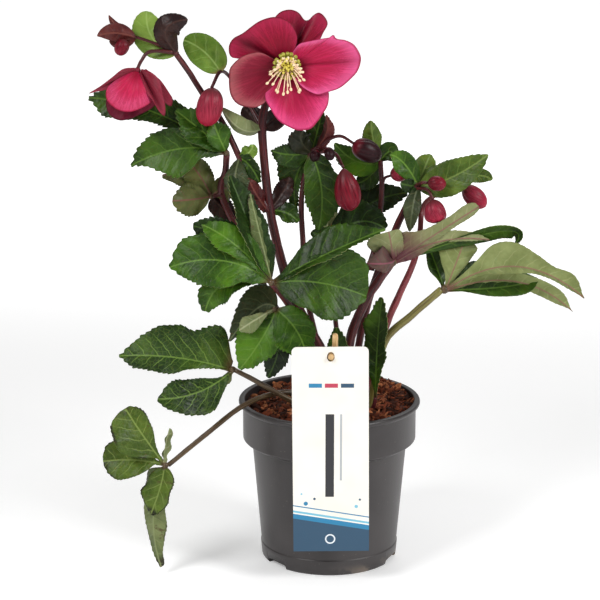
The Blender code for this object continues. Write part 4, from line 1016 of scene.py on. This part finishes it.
def close_sheet(shape, sheets, skins):
    """Faces of a thin sheet: its two sides and the rim between them."""
    front, back = (shape.skin(skin) for skin in skins)
    shape.grid([list(reversed(row)) for row in sheets[0]], front)
    shape.grid(sheets[1], back)
    rims = []
    for rows in sheets:
        rim = list(rows[0]) + [row[-1] for row in rows[1:]] + list(reversed(rows[-1][:-1]))
        rims.append(rim + [row[0] for row in reversed(rows[1:-1])])
    shape.grid(rims, back, closed=True)


def even_row(line, count):
    """The same line with its points spread evenly along it."""
    reach = [0.0]
    for near, far in zip(line, line[1:]):
        reach.append(reach[-1] + (far - near).length)
    row = []
    k = 0
    for i in range(count + 1):
        goal = reach[-1] * i / count
        while k < len(line) - 2 and reach[k + 1] < goal:
            k += 1
        share = (goal - reach[k]) / max(reach[k + 1] - reach[k], 1e-6)
        row.append(line[k].lerp(line[k + 1], min(share, 1.0)))
    return row


def add_sepal(shape, sepal):
    """A sepal whose faces fan out from its root to its rim, creased, pillowed and a little ruffled."""
    root = Vector(sepal.root)
    rim = even_row(spline([Vector(place) for place in sepal.rim], 8), RIM_STEPS)
    length = sum((place - root).length for place in rim) / len(rim)
    fold_at, fold_width, fold_depth, fold_shade = sepal.fold
    tint = chance.random()
    phases = [chance.uniform(0, 6.28) for k in range(3)]
    sheets = []
    for layer in (1, -1):
        sheet = []
        for i in range(SEPAL_ROWS + 1):
            t = 0.02 + 0.98 * i / SEPAL_ROWS
            row = []
            for j, edge in enumerate(rim):
                side = 2.0 * j / RIM_STEPS - 1.0
                place = root.lerp(edge, t)
                fold = math.exp(-((side - fold_at) / fold_width) ** 2)
                lift = sepal.bulge * math.sin(math.pi * min(t, 0.97)) * (1.0 - side * side)
                lift += sepal.cup * t * side * side
                pillow = abs(math.sin(math.pi * (side - fold_at))) * math.sin(math.pi * 0.9 * t)
                lift += sepal.pillow * pillow
                lift -= fold_depth * fold * math.sin(math.pi * 0.85 * t)
                lift += 0.7 * t ** 3 * math.sin(9.0 * side + phases[0])
                lift += 0.3 * t ** 5 * math.sin(23.0 * side + phases[1])
                lift += 0.1 * math.sin(40.0 * side + phases[2]) * smooth(0.1, 0.5, t)
                place.z += lift + SEPAL_HALF * layer
                # painted shade along the crease: full from the root most of the way out, half as strong at
                # the rim
                shade = fold_shade * fold * (smooth(1.0, 0.7, t) + 0.5 * smooth(0.6, 1.0, t))
                across = side * length * 0.6
                row.append(shape.point(seen(place), (t * length, across, tint), (t, side, shade)))
            sheet.append(row)
        sheets.append(sheet)
    close_sheet(shape, sheets, (sepal.skin, "sepal_back"))


def add_ball(shape, centre, radii, skin, sides=14, rings=8, axis=Vector((0.0, 0.0, 1.0)), tint=0.0):
    """A rounded lump, its second radius along its axis."""
    side = axis.orthogonal().normalized()
    up = axis.cross(side)
    rows = []
    for i in range(rings + 1):
        polar = math.pi * i / rings
        out = radii[0] * max(math.sin(polar), 0.02)
        row = []
        for turn in turns(sides):
            position = centre + out * spoke(turn, side, up) - axis * radii[1] * math.cos(polar)
            row.append(shape.point(position, (i, turn, tint), (0.5, 0.0, 0.0)))
        rows.append(row)
    shape.barrel(rows, shape.skin(skin))


def add_leaf(shape, name, share, start_half):
    """Every blade of a leaf or spray, drawn in to start inside its hub."""
    leaf = LEAVES[name]
    hub = Vector(leaf.hub)
    for i, blade in enumerate(leaf.blades):
        away = (Vector(blade.base) - hub).normalized()
        rooted = blade._replace(base=tuple(hub + share * leaf.hub_radius * away))
        skins = FACES[name][i] if name in FACES else ("green", "under")
        outline = OUTLINES.get(name, {}).get(i)
        add_blade(shape, rooted, CUT.get(name, WHOLE_CUT), start_half, skins, outline)


def make_leaf(name):
    shape = Shape()
    add_leaf(shape, name, 0.5, 1.3)
    size = LEAVES[name].hub_radius * 0.92
    add_ball(shape, seen(LEAVES[name].hub), (size, size), "brown_stem", tint=0.3)
    shape.finish("look_" + name, name, LEAF_SLOTS.get(name, "leaf_green"))


# Stems

def add_tube(shape, line, radii, skin, sides=14, tint=0.5, lump=0.0):
    """A fleshy round stalk along a line, shut with a flat face at both ends."""
    rows = []
    side = Vector((1.0, 0.0, 0.0))
    travelled = 0.0
    last = len(line) - 1
    for i, centre in enumerate(line):
        if i:
            travelled += (centre - line[i - 1]).length
        along = (line[min(i + 1, last)] - line[max(i - 1, 0)]).normalized()
        side = side - side.dot(along) * along
        if side.length < 0.1:
            side = along.orthogonal()
        side.normalize()
        up = along.cross(side)
        row = []
        for turn in turns(sides):
            out = radii[i] * (1.0 + lump * noise.noise(Vector((travelled * 0.12, turn, tint * 50))))
            out *= 1.0 + 0.025 * math.cos(5 * turn)
            position = centre + out * spoke(turn, side, up)
            row.append(shape.point(position, (travelled, abs(turn - math.pi), tint), (i / last, 0.0, 0.0)))
        rows.append(row)
    shape.barrel(rows, shape.skin(skin))


def make_stem(name, stems):
    """A rooted stem with its side stalks and the small leaves it carries."""
    shape = Shape()
    tint = chance.random()
    for i, stem in enumerate(stems):
        places = [seen(place) for place in stem.places]
        if i == 0:
            places = [places[0] + Vector((0.0, 0.0, rise)) for rise in (-8.0, -3.0, 3.0)] + places[1:]
        swelling, swollen = (0.16, 9.0) if i == 0 else (0.5, 3.5)
        line = spline(places, 6)
        step = (stem.end_radius - stem.start_radius) / (len(line) - 1)
        radii = [(stem.start_radius + step * k) * (1.0 + swelling * smooth(swollen, 0.0, k))
                 for k in range(len(line))]
        add_tube(shape, line, radii, STEM_SKINS.get(name, "purple_stem"), tint=tint, lump=0.12)
    for spray in BRACTS_ON.get(name, ()):
        add_leaf(shape, spray, -0.3, 1.1)
    shape.finish("look_" + name, name, STEM_SLOTS.get(name, "stem_purple"))


# Buds and flowers

def make_bud(name, bud):
    """A closed bud: five overlapping sepals drawn to a point."""
    shape = Shape()
    base, tip = seen(bud.base), seen(bud.tip)
    along = (tip - base).normalized()
    length = (tip - base).length
    side = along.orthogonal().normalized()
    up = along.cross(side)
    tint = chance.random()
    twist = chance.uniform(0.0, 1.2)
    rows = []
    for i in range(BUD_RINGS + 1):
        share = i / BUD_RINGS
        width = bud_profile(share, bud.blunt, bud.widest)
        sway = 0.05 * bud.radius * math.sin(3.0 * share + tint * 6)
        middle = base + along * length * share + side * sway
        row = []
        for turn in turns(BUD_SIDES):
            lap = (5 * turn / (2 * math.pi) + twist * share * 0.6 + tint) % 1.0
            near = min(lap, 1 - lap)
            lobe = 1.0 - bud.ridge * math.exp(-(near / 0.1) ** 2) - 0.04 * lap
            position = middle + bud.radius * max(width * lobe, 0.05) * spoke(turn, side, up)
            seam = math.exp(-(near / 0.035) ** 2)
            row.append(shape.point(position, (share * length, lap * 2.0 + int(5 * turn / 6.2832), tint),
                                   (share, seam, 0.0)))
        rows.append(row)
    shape.barrel(rows, shape.skin(bud.skin))
    shape.finish("look_" + name, name, "bud_crimson")


def bud_profile(share, blunt, widest):
    """Share of a bud's radius along its length, from drawn ends (blunt 0) to an egg (blunt 1)."""
    reach = (share - widest) / (widest if share < widest else 1.0 - widest)
    egg = math.sqrt(max(1.0 - abs(reach) ** 2.3, 0.0))
    drawn = width_at(min(share, 0.995), widest, 0.7) if share > 0.0 else 0.0
    return max(blunt * egg + (1.0 - blunt) * drawn, 0.08)


def make_flower(name, sepals, hub, size):
    shape = Shape()
    for sepal in sepals:
        add_sepal(shape, sepal)
    add_ball(shape, seen(hub), (size, size), "sepal_back")
    shape.finish("look_" + name, name + "_sepals", "sepal_crimson")


def make_stamens():
    """The flower's middle: drooping stamens, a ring of tube nectaries and a tuft of carpels."""
    shape = Shape()
    for skin in ("filament", "anther", "nectary", "tuft"):
        shape.skin(skin)
    centre = seen(FLOWER_MAIN_HUB)
    facing = (EYE - centre).normalized()
    side = Vector((1.0, 0.0, 0.0))
    up = facing.cross(side)
    root = centre + facing * (FLOWER_MAIN_HUB_RADIUS + 2.5)

    def place(turn, out, rise):
        return root + spoke(turn, side, up) * out + facing * rise

    add_ball(shape, root, (4.4, 3.0), "nectary", axis=facing)
    for k in range(STAMEN_COUNT):
        turn = SPIRAL_TURN * k + chance.uniform(-0.1, 0.1)
        out = spoke(turn, side, up)
        reach = STAMEN_REACH * (0.42 + 0.62 * smooth(-0.35, 0.7, -out.z)) * chance.uniform(0.55, 1.0)
        foot = place(turn, 2.2, 1.0)
        middle = foot + out * reach * 0.45 + facing * chance.uniform(3.0, 5.5)
        tip = foot + out * reach + facing * chance.uniform(3.0, 6.0) - Vector((0.0, 0.0, 2.5))
        add_tube(shape, spline([foot, middle, tip], 5), [0.36] * 11, "filament", sides=6, tint=0.2)
        axis = (out + facing * chance.uniform(-0.5, 0.8)).normalized()
        add_ball(shape, tip, (0.95, 1.3), "anther", sides=8, rings=6, axis=axis)
    for k in range(TUFT_COUNT):
        turn = SPIRAL_TURN * k
        tip = place(turn, chance.uniform(0.6, 6.4), chance.uniform(3.5, 7.0))
        add_tube(shape, spline([place(turn, 1.2, 0.0), tip], 4), [0.34] * 5, "filament", sides=6, tint=0.2)
        add_ball(shape, tip, (0.95, 1.25), "tuft", sides=8, rings=6, axis=facing)
    for k in range(NECTARY_COUNT):
        turn = 2 * math.pi * (k + 0.5 * chance.random()) / NECTARY_COUNT
        line = [place(turn, 2.8, 0.0), place(turn, 6.6, 1.0), place(turn, 9.0, chance.uniform(2.0, 4.0))]
        radii = [0.6, 0.8, 1.0, 1.2, 1.4, 1.45, 1.25]
        add_tube(shape, spline(line, 3), radii, "nectary", sides=8, tint=0.7)
    for turn in turns(CARPEL_COUNT):
        line = [place(turn, 1.0, 0.0), place(turn, 1.5, 5.0), place(turn, 3.0, 9.0)]
        radii = [1.2, 1.2, 1.1, 0.9, 0.6, 0.45, 0.3]
        add_tube(shape, spline(line, 3), radii, "tuft", sides=8, tint=0.9)
    shape.finish("look_flower_stamens", "flower_main_stamens", "stamen_cream")


# Pot, soil, card and stick

def round_profile(corners, radius, steps=4):
    """A profile with its corners rounded off."""
    line = [corners[0]]
    for before, here, after in zip(corners, corners[1:], corners[2:]):
        a, b, c = Vector(before), Vector(here), Vector(after)
        size = min(radius, 0.45 * (b - a).length, 0.45 * (c - b).length)
        start = b + (a - b).normalized() * size
        end = b + (c - b).normalized() * size
        for k in range(steps + 1):
            t = k / steps
            line.append(tuple((1 - t) ** 2 * start + 2 * t * (1 - t) * b + t * t * end))
    line.append(corners[-1])
    return line


def make_pot():
    """Pot wall with rounded lip, collar and shoulder, and arched notches at its foot."""
    shape = Shape()
    shape.skin("pot")
    inner = COLLAR_RADIUS - WALL
    slope = (BODY_TOP_RADIUS - BASE_RADIUS) / BODY_TOP
    step_radius = BASE_RADIUS + slope * FOOT_STEP
    lip_bottom = POT_HEIGHT - LIP_HEIGHT
    corners = [(0.0, 0.0), (BASE_RADIUS - 1.0, 0.0), (BASE_RADIUS, 1.2), (step_radius, FOOT_STEP),
               (step_radius - 0.5, FOOT_STEP + 0.7), (BODY_TOP_RADIUS, BODY_TOP),
               (COLLAR_RADIUS, COLLAR_BOTTOM), (COLLAR_RADIUS, lip_bottom - 1.0),
               (LIP_RADIUS - 0.6, lip_bottom), (LIP_RADIUS, POT_HEIGHT - LIP_HEIGHT / 2),
               (LIP_RADIUS - 0.8, POT_HEIGHT), (inner, POT_HEIGHT), (inner, COLLAR_BOTTOM + 1.0),
               (BODY_TOP_RADIUS - WALL, BODY_TOP),
               (BASE_RADIUS - WALL + BASE_THICKNESS * slope, BASE_THICKNESS), (0.0, BASE_THICKNESS)]
    profile = round_profile(corners, 1.0)[1:-1]
    shape.barrel([shape.row(circle(radius, height, POT_SIDES)) for radius, height in profile])
    notches = Shape()
    for angle in DRAIN_NOTCH_ANGLES:
        add_notch(notches, math.radians(angle - 90.0))
    cut(shape.finish("look_pot", "pot", "pot_plastic"), notches)


def add_notch(shape, middle):
    """A low arch-topped block through the foot of the pot's wall."""
    out = Vector((math.cos(middle), math.sin(middle), 0.0))
    side = Vector((-out.y, out.x, 0.0))
    reach = (BASE_RADIUS + 4.0) * math.radians(DRAIN_NOTCH_WIDTH) / 2
    outline = [(-reach, -1.0), (reach, -1.0)]
    for k in range(9):
        turn = math.pi * k / 8
        outline.append((reach * math.cos(turn), DRAIN_NOTCH_HEIGHT * (0.55 + 0.45 * math.sin(turn))))
    shape.barrel([shape.row(out * radius + side * s + Vector((0, 0, h)) for s, h in outline)
                  for radius in (BASE_RADIUS - 6.0, BASE_RADIUS + 4.0)])


def cut(obj, shape):
    """Cuts a shape out of a finished piece."""
    cutter = place_in_scene("cutter", shape.mesh("cutter"))
    modifier = obj.modifiers.new("cut", "BOOLEAN")
    modifier.operation = "DIFFERENCE"
    modifier.solver = "EXACT"
    modifier.object = cutter
    bpy.context.view_layer.update()
    solid = bpy.data.meshes.new_from_object(obj.evaluated_get(bpy.context.evaluated_depsgraph_get()))
    obj.modifiers.clear()
    obj.data = solid
    bpy.data.objects.remove(cutter)


def soil_height(x, y):
    mound = SOIL_MOUND * math.exp(-((x - MOUND_PLACE[0]) ** 2 + (y - MOUND_PLACE[1]) ** 2) / 500.0)
    lumps = 1.6 * noise.noise(Vector((x * 0.09, y * 0.09, 1.0)))
    crumbs = 0.9 * noise.noise(Vector((x * 0.25, y * 0.25, 4.0)))
    return SOIL_TOP + mound + lumps + crumbs


def make_soil():
    """A lumpy bed of peat strewn with bark chips."""
    shape = Shape()
    shape.skin("soil")
    edge = COLLAR_RADIUS - WALL - 0.4
    rings = [[shape.point(place, (0, 0, 0.2)) for place in circle(edge, COLLAR_BOTTOM + 8.0, SOIL_SIDES)]]
    for i in range(SOIL_RINGS + 1):
        ring = circle(edge * (1.0 - i / (SOIL_RINGS + 1)), 0.0, SOIL_SIDES)
        rings.append([shape.point(Vector((x, y, soil_height(x, y))), (x, y, 0.25)) for x, y, z in ring])
    shape.barrel(rings)
    for k in range(CHIP_COUNT):
        radius = (edge - 2.2) * math.sqrt(chance.random())
        turn = chance.uniform(0, 2 * math.pi)
        x, y = radius * math.cos(turn), radius * math.sin(turn)
        size = chance.uniform(*(SMALL_CHIP if k % 3 else LARGE_CHIP))
        add_chip(shape, Vector((x, y, soil_height(x, y) + 0.25 * size)), size)
    shape.finish("look_soil", "soil", "soil_bark", smooth_shading=False)


def add_chip(shape, centre, size):
    """One splintered bark chip, lying at its own slant."""
    tint = chance.random()
    lean = Vector((chance.uniform(-1, 1), chance.uniform(-1, 1), chance.uniform(-0.5, 0.5))).normalized()
    side = lean.orthogonal().normalized()
    up = lean.cross(side) * chance.uniform(0.25, 0.6)
    slim = chance.uniform(0.3, 0.62)
    rings = []
    for share, width in ((-1.0, 0.35), (-0.45, 0.95), (0.4, 1.0), (1.0, 0.4)):
        ring = []
        for turn in turns(5):
            rough = chance.uniform(0.7, 1.15)
            position = centre + lean * share * size * chance.uniform(0.9, 1.15)
            position = position + width * size * slim * rough * spoke(turn, side, up)
            ring.append(shape.point(position, (0.0, 0.0, tint)))
        rings.append(ring)
    shape.barrel(rings)


def make_card():
    """The card: rounded top corners, a crisp edge and an oval hole."""
    lean = math.radians(CARD_LEAN)
    half = CARD_WIDTH / 2
    outline = [(-half, 0.0), (half, 0.0)]
    for centre, start in ((half - CARD_CORNER, 0.0), (-half + CARD_CORNER, 90.0)):
        for k in range(9):
            turn = math.radians(start + 90.0 * k / 8)
            outline.append((centre + CARD_CORNER * math.cos(turn),
                            CARD_HEIGHT - CARD_CORNER + CARD_CORNER * math.sin(turn)))
    outline = [(x * math.cos(lean) - z * math.sin(lean) + CARD_SHIFT,
                CARD_BOTTOM + z * math.cos(lean) + x * math.sin(lean)) for x, z in outline]
    card = plate(outline, -CARD_FRONT + CARD_THICKNESS, -CARD_FRONT)
    card.skin("card")
    hole = [(CARD_HOLE[0] * math.cos(turn), CARD_HOLE_HEIGHT + CARD_HOLE[1] * math.sin(turn))
            for turn in turns(28)]
    cut(card.finish("look_label_card", "label_card", "label_card", smooth_shading=False),
        plate(hole, -CARD_FRONT + 3.0, -CARD_FRONT - 2.0))


def plate(outline, back, front):
    """An upright flat piece with this outline."""
    shape = Shape()
    shape.barrel([shape.row(Vector((x, depth, z)) for x, z in outline) for depth in (back, front)])
    return shape


def make_stick():
    """The bamboo stick with its joints, and the peg through the card's hole."""
    shape = Shape()
    top = Vector((STICK_TOP[0], -CARD_FRONT + CARD_THICKNESS + STICK_RADIUS + 0.5, STICK_TOP[1]))
    count = 40
    line = [STICK_FOOT.lerp(top, k / count) for k in range(count + 1)]
    radii = [STICK_RADIUS * (1.0 + 0.1 * math.exp(-((k - STICK_JOINT) / 1.2) ** 2))
             for k in range(count + 1)]
    radii[-1] = STICK_RADIUS * 0.85
    add_tube(shape, line, radii, "bamboo", sides=20, tint=0.1)
    share = (CARD_HOLE_HEIGHT - STICK_FOOT.z) / (top.z - STICK_FOOT.z)
    start = Vector((0.6, STICK_FOOT.lerp(top, share).y, CARD_HOLE_HEIGHT))
    end = Vector((0.0, -CARD_FRONT - 2.6, CARD_HOLE_HEIGHT))
    radii = [PEG_RADIUS] * 6 + [PEG_RADIUS * 0.8]
    add_tube(shape, spline([start, end], 6), radii, "bamboo", sides=16, tint=0.1)
    shape.finish("look_label_stick", "label_stick", "bamboo")


# The stage

def floor_material():
    """Matt white paper floor with a painted glow: its emission falls off just behind the pot and grows
    toward its far end.
    """
    n = Nodes("floor")
    y = n.split(n.place())[1]
    dip = n.ramp(y, 0.08, 0.4, NEAR_GLOW, MIDDLE_GLOW)
    n.plug((1.0, 1.0, 1.0, 1.0), n.shader.inputs["Emission Color"])
    n.plug(n.plus(dip, n.ramp(y, 0.42, 1.3, 0.0, FAR_GLOW)), n.shader.inputs["Emission Strength"])
    return n.finish((250, 250, 250), 0.7, 0.2)


def make_stage():
    """The floor, the camera at the photograph's angle, the pale surroundings and the soft lights."""
    scene = bpy.context.scene
    reach = FLOOR_REACH
    mesh = bpy.data.meshes.new("floor")
    corners = [(-reach, -reach, 0.0), (reach, -reach, 0.0), (reach, reach, 0.0), (-reach, reach, 0.0)]
    mesh.from_pydata(corners, [], [(0, 1, 2, 3)])
    mesh.materials.append(floor_material())
    place_in_scene("floor", mesh)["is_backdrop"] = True
    camera = place_in_scene("camera", bpy.data.cameras.new("camera"))
    camera.data.lens = CAMERA_LENS
    camera.data.sensor_width = 36.0
    camera.location = EYE * MM
    camera.rotation_euler = (math.radians(90.0 - CAMERA_PITCH), 0.0, 0.0)
    scene.camera = camera
    scene.view_settings.view_transform = "Standard"
    world = bpy.data.worlds.new("world")
    world.use_nodes = True
    background = world.node_tree.nodes["Background"]
    background.inputs[0].default_value = (1.0, 1.0, 1.0, 1.0)
    background.inputs[1].default_value = WORLD_LIGHT
    scene.world = world
    for place, target, size, power in LIGHTS:
        light = bpy.data.lights.new("softbox", "AREA")
        light.size = size
        light.energy = power
        lamp = place_in_scene("softbox", light)
        lamp.location = place
        lamp.rotation_euler = (Vector(target) - Vector(place)).to_track_quat("-Z", "Y").to_euler()


# Leaf faces by name: dark tone, light tone, vein and stalk, then what sets the face apart
LEAF_TONES = {
    # bright, green and deep are one leaf green at three brightnesses, partly the blades' own tone and
    # partly painted light and shade; slate partly stands for painted shade on a leaf top turned from the
    # lamps
    "green": ((22, 42, 5), (44, 72, 10), (88, 120, 42), (80, 58, 38), {"bright": (62, 94, 16)}),
    "veined": ((22, 42, 8), (42, 66, 16), (108, 136, 58), (84, 68, 42),
               {"vein_share": 0.7, "net_share": 0.4, "bright": (62, 88, 24)}),
    "flushed": ((114, 120, 76), (144, 148, 104), (160, 160, 122), (90, 44, 50),
                {"gloss": 0.5, "net_share": 0.2, "rib": (134, 88, 84), "flush": (92, 50, 56)}),
    "bright": ((32, 60, 7), (56, 92, 12), (102, 136, 52), (84, 68, 42), {"bright": (80, 122, 20)}),
    "deep": ((16, 32, 6), (34, 58, 12), (66, 94, 36), (62, 46, 34), {}),
    "slate": ((50, 60, 36), (76, 84, 54), (106, 114, 80), (60, 46, 38), {}),
    "under": ((108, 118, 66), (138, 148, 94), (158, 162, 114), (112, 78, 64),
              {"gloss": 0.55, "net_share": 0.2, "rib": (138, 96, 84)}),
    "pale": ((104, 114, 72), (138, 144, 100), (160, 164, 126), (108, 86, 62),
             {"gloss": 0.5, "net_share": 0.15}),
    "mauve": ((68, 44, 46), (104, 84, 72), (106, 46, 62), (92, 40, 46),
              {"gloss": 0.5, "vein_share": 0.7, "net_share": 0.3, "rib": (140, 80, 94)}),
    "old": ((58, 78, 20), (90, 112, 36), (128, 146, 74), (84, 68, 46),
            {"vein_share": 0.55, "blotch": (74, 62, 32), "edge": (22, 18, 14)}),
    "dry": ((82, 94, 52), (118, 128, 82), (136, 146, 100), (84, 68, 46),
            {"gloss": 0.5, "blotch": (84, 74, 46), "edge": (40, 34, 22)}),
    "fresh": ((56, 78, 22), (86, 108, 36), (118, 138, 68), (100, 74, 48), {"bright": (104, 126, 44)}),
    "young": ((78, 108, 30), (114, 144, 54), (150, 176, 96), (130, 120, 62),
              {"vein_share": 0.3, "net_share": 0.2, "bright": (136, 164, 72)}),
    "olive": ((76, 84, 42), (110, 114, 64), (104, 76, 56), (84, 50, 42), {"rib": (124, 74, 70)}),
    "shadow": ((24, 28, 16), (42, 42, 26), (58, 56, 38), (40, 26, 22), {}),
    "purple": ((32, 18, 18), (56, 33, 28), (70, 46, 40), (50, 24, 24), {"vein_share": 0.3}),
    "maroon": ((60, 18, 20), (96, 38, 34), (116, 62, 52), (60, 20, 22), {"vein_share": 0.3}),
}
# Stalks: dark tone, light tone and flecks
STEM_TONES = {
    "purple_stem": ((50, 20, 24), (98, 40, 42), (126, 84, 68)),
    "red_stem": ((118, 44, 52), (156, 78, 82), (170, 124, 100)),
    "olive_stem": ((92, 80, 40), (128, 122, 66), (124, 86, 62)),
    "brown_stem": ((62, 46, 32), (98, 80, 56), (118, 100, 76)),
}
# Sepals: veins, middle, light, root and rim tones, then how far the rim's tone shows
SEPAL_TONES = {
    # the right and low sepals' lighter tones and the top and left ones' darker tones are partly their own
    # colour and partly painted light and shade, as if lit by the lamps or turned from them
    "sepal_right": ((142, 14, 48), (180, 28, 72), (222, 80, 136), (108, 6, 28), (232, 108, 164), 0.5),
    "sepal_low": ((142, 16, 52), (174, 28, 70), (210, 58, 112), (108, 6, 30), (222, 88, 142), 0.45),
    "sepal_left": ((92, 10, 28), (126, 20, 44), (152, 50, 70), (98, 6, 24), (176, 112, 110), 0.42),
    "sepal_top": ((100, 8, 30), (140, 14, 44), (170, 32, 70), (84, 5, 24), (158, 40, 72), 0.4),
    "sepal_cup": ((150, 14, 48), (188, 34, 76), (216, 80, 126), (140, 12, 44), (182, 40, 74), 0.5),
    "sepal_wing": ((92, 18, 34), (124, 34, 50), (138, 44, 62), (104, 22, 38), (150, 48, 68)),
    "sepal_inside": ((66, 4, 20), (92, 10, 32), (112, 20, 46), (62, 4, 20), (110, 24, 48)),
    "sepal_back": ((90, 18, 34), (124, 38, 54), (144, 62, 76), (88, 56, 42), (136, 98, 72)),
}


def make_skins():
    """Every surface of the plant, its pot and its card, by name."""
    skins = {name: leaf_material("leaf " + name, *tones, **more)
             for name, (*tones, more) in LEAF_TONES.items()}
    skins.update({name: stem_material(name, *tones) for name, tones in STEM_TONES.items()})
    skins.update({name: sepal_material(name, *tones) for name, tones in SEPAL_TONES.items()})
    skins.update({
        "bud": bud_material("bud", (74, 6, 20), (122, 18, 36), (132, 22, 44)),
        "bud_dark": bud_material("bud_dark", (26, 3, 7), (46, 6, 14), (26, 5, 8), foot=(112, 14, 32)),
        "bud_rose": bud_material("bud_rose", (116, 22, 42), (158, 48, 68), (168, 18, 54), seam_share=0.35),
        "filament": Nodes("filament").finish((240, 206, 172), 0.5, 0.4),
        "anther": Nodes("anther").finish((246, 222, 182), 0.6, 0.4),
        "nectary": mottled_material("nectary", (140, 140, 44), (192, 188, 84)),
        "tuft": mottled_material("tuft", (196, 176, 56), (228, 214, 104)),
        "pot": pot_material(),
        "soil": soil_material(),
        "card": card_material(),
        "bamboo": bamboo_material(),
    })
    return skins


def build():
    """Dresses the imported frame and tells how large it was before."""
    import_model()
    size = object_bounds()
    make_stage()
    make_pot()
    make_soil()
    make_card()
    make_stick()
    sprays = [spray for group in BRACTS_ON.values() for spray in group]
    for name in LEAVES:
        if name not in sprays:
            make_leaf(name)
    for name, stems in STEMS.items():
        make_stem(name, stems)
    for name, bud in BUDS.items():
        make_bud(name, bud)
    make_flower("flower_main", SEPALS_MAIN, FLOWER_MAIN_HUB, 4.6)
    make_flower("flower_left", SEPALS_LEFT, FLOWER_LEFT_HUB, 2.3)
    make_stamens()
    return size


SKINS = make_skins()
before = build()
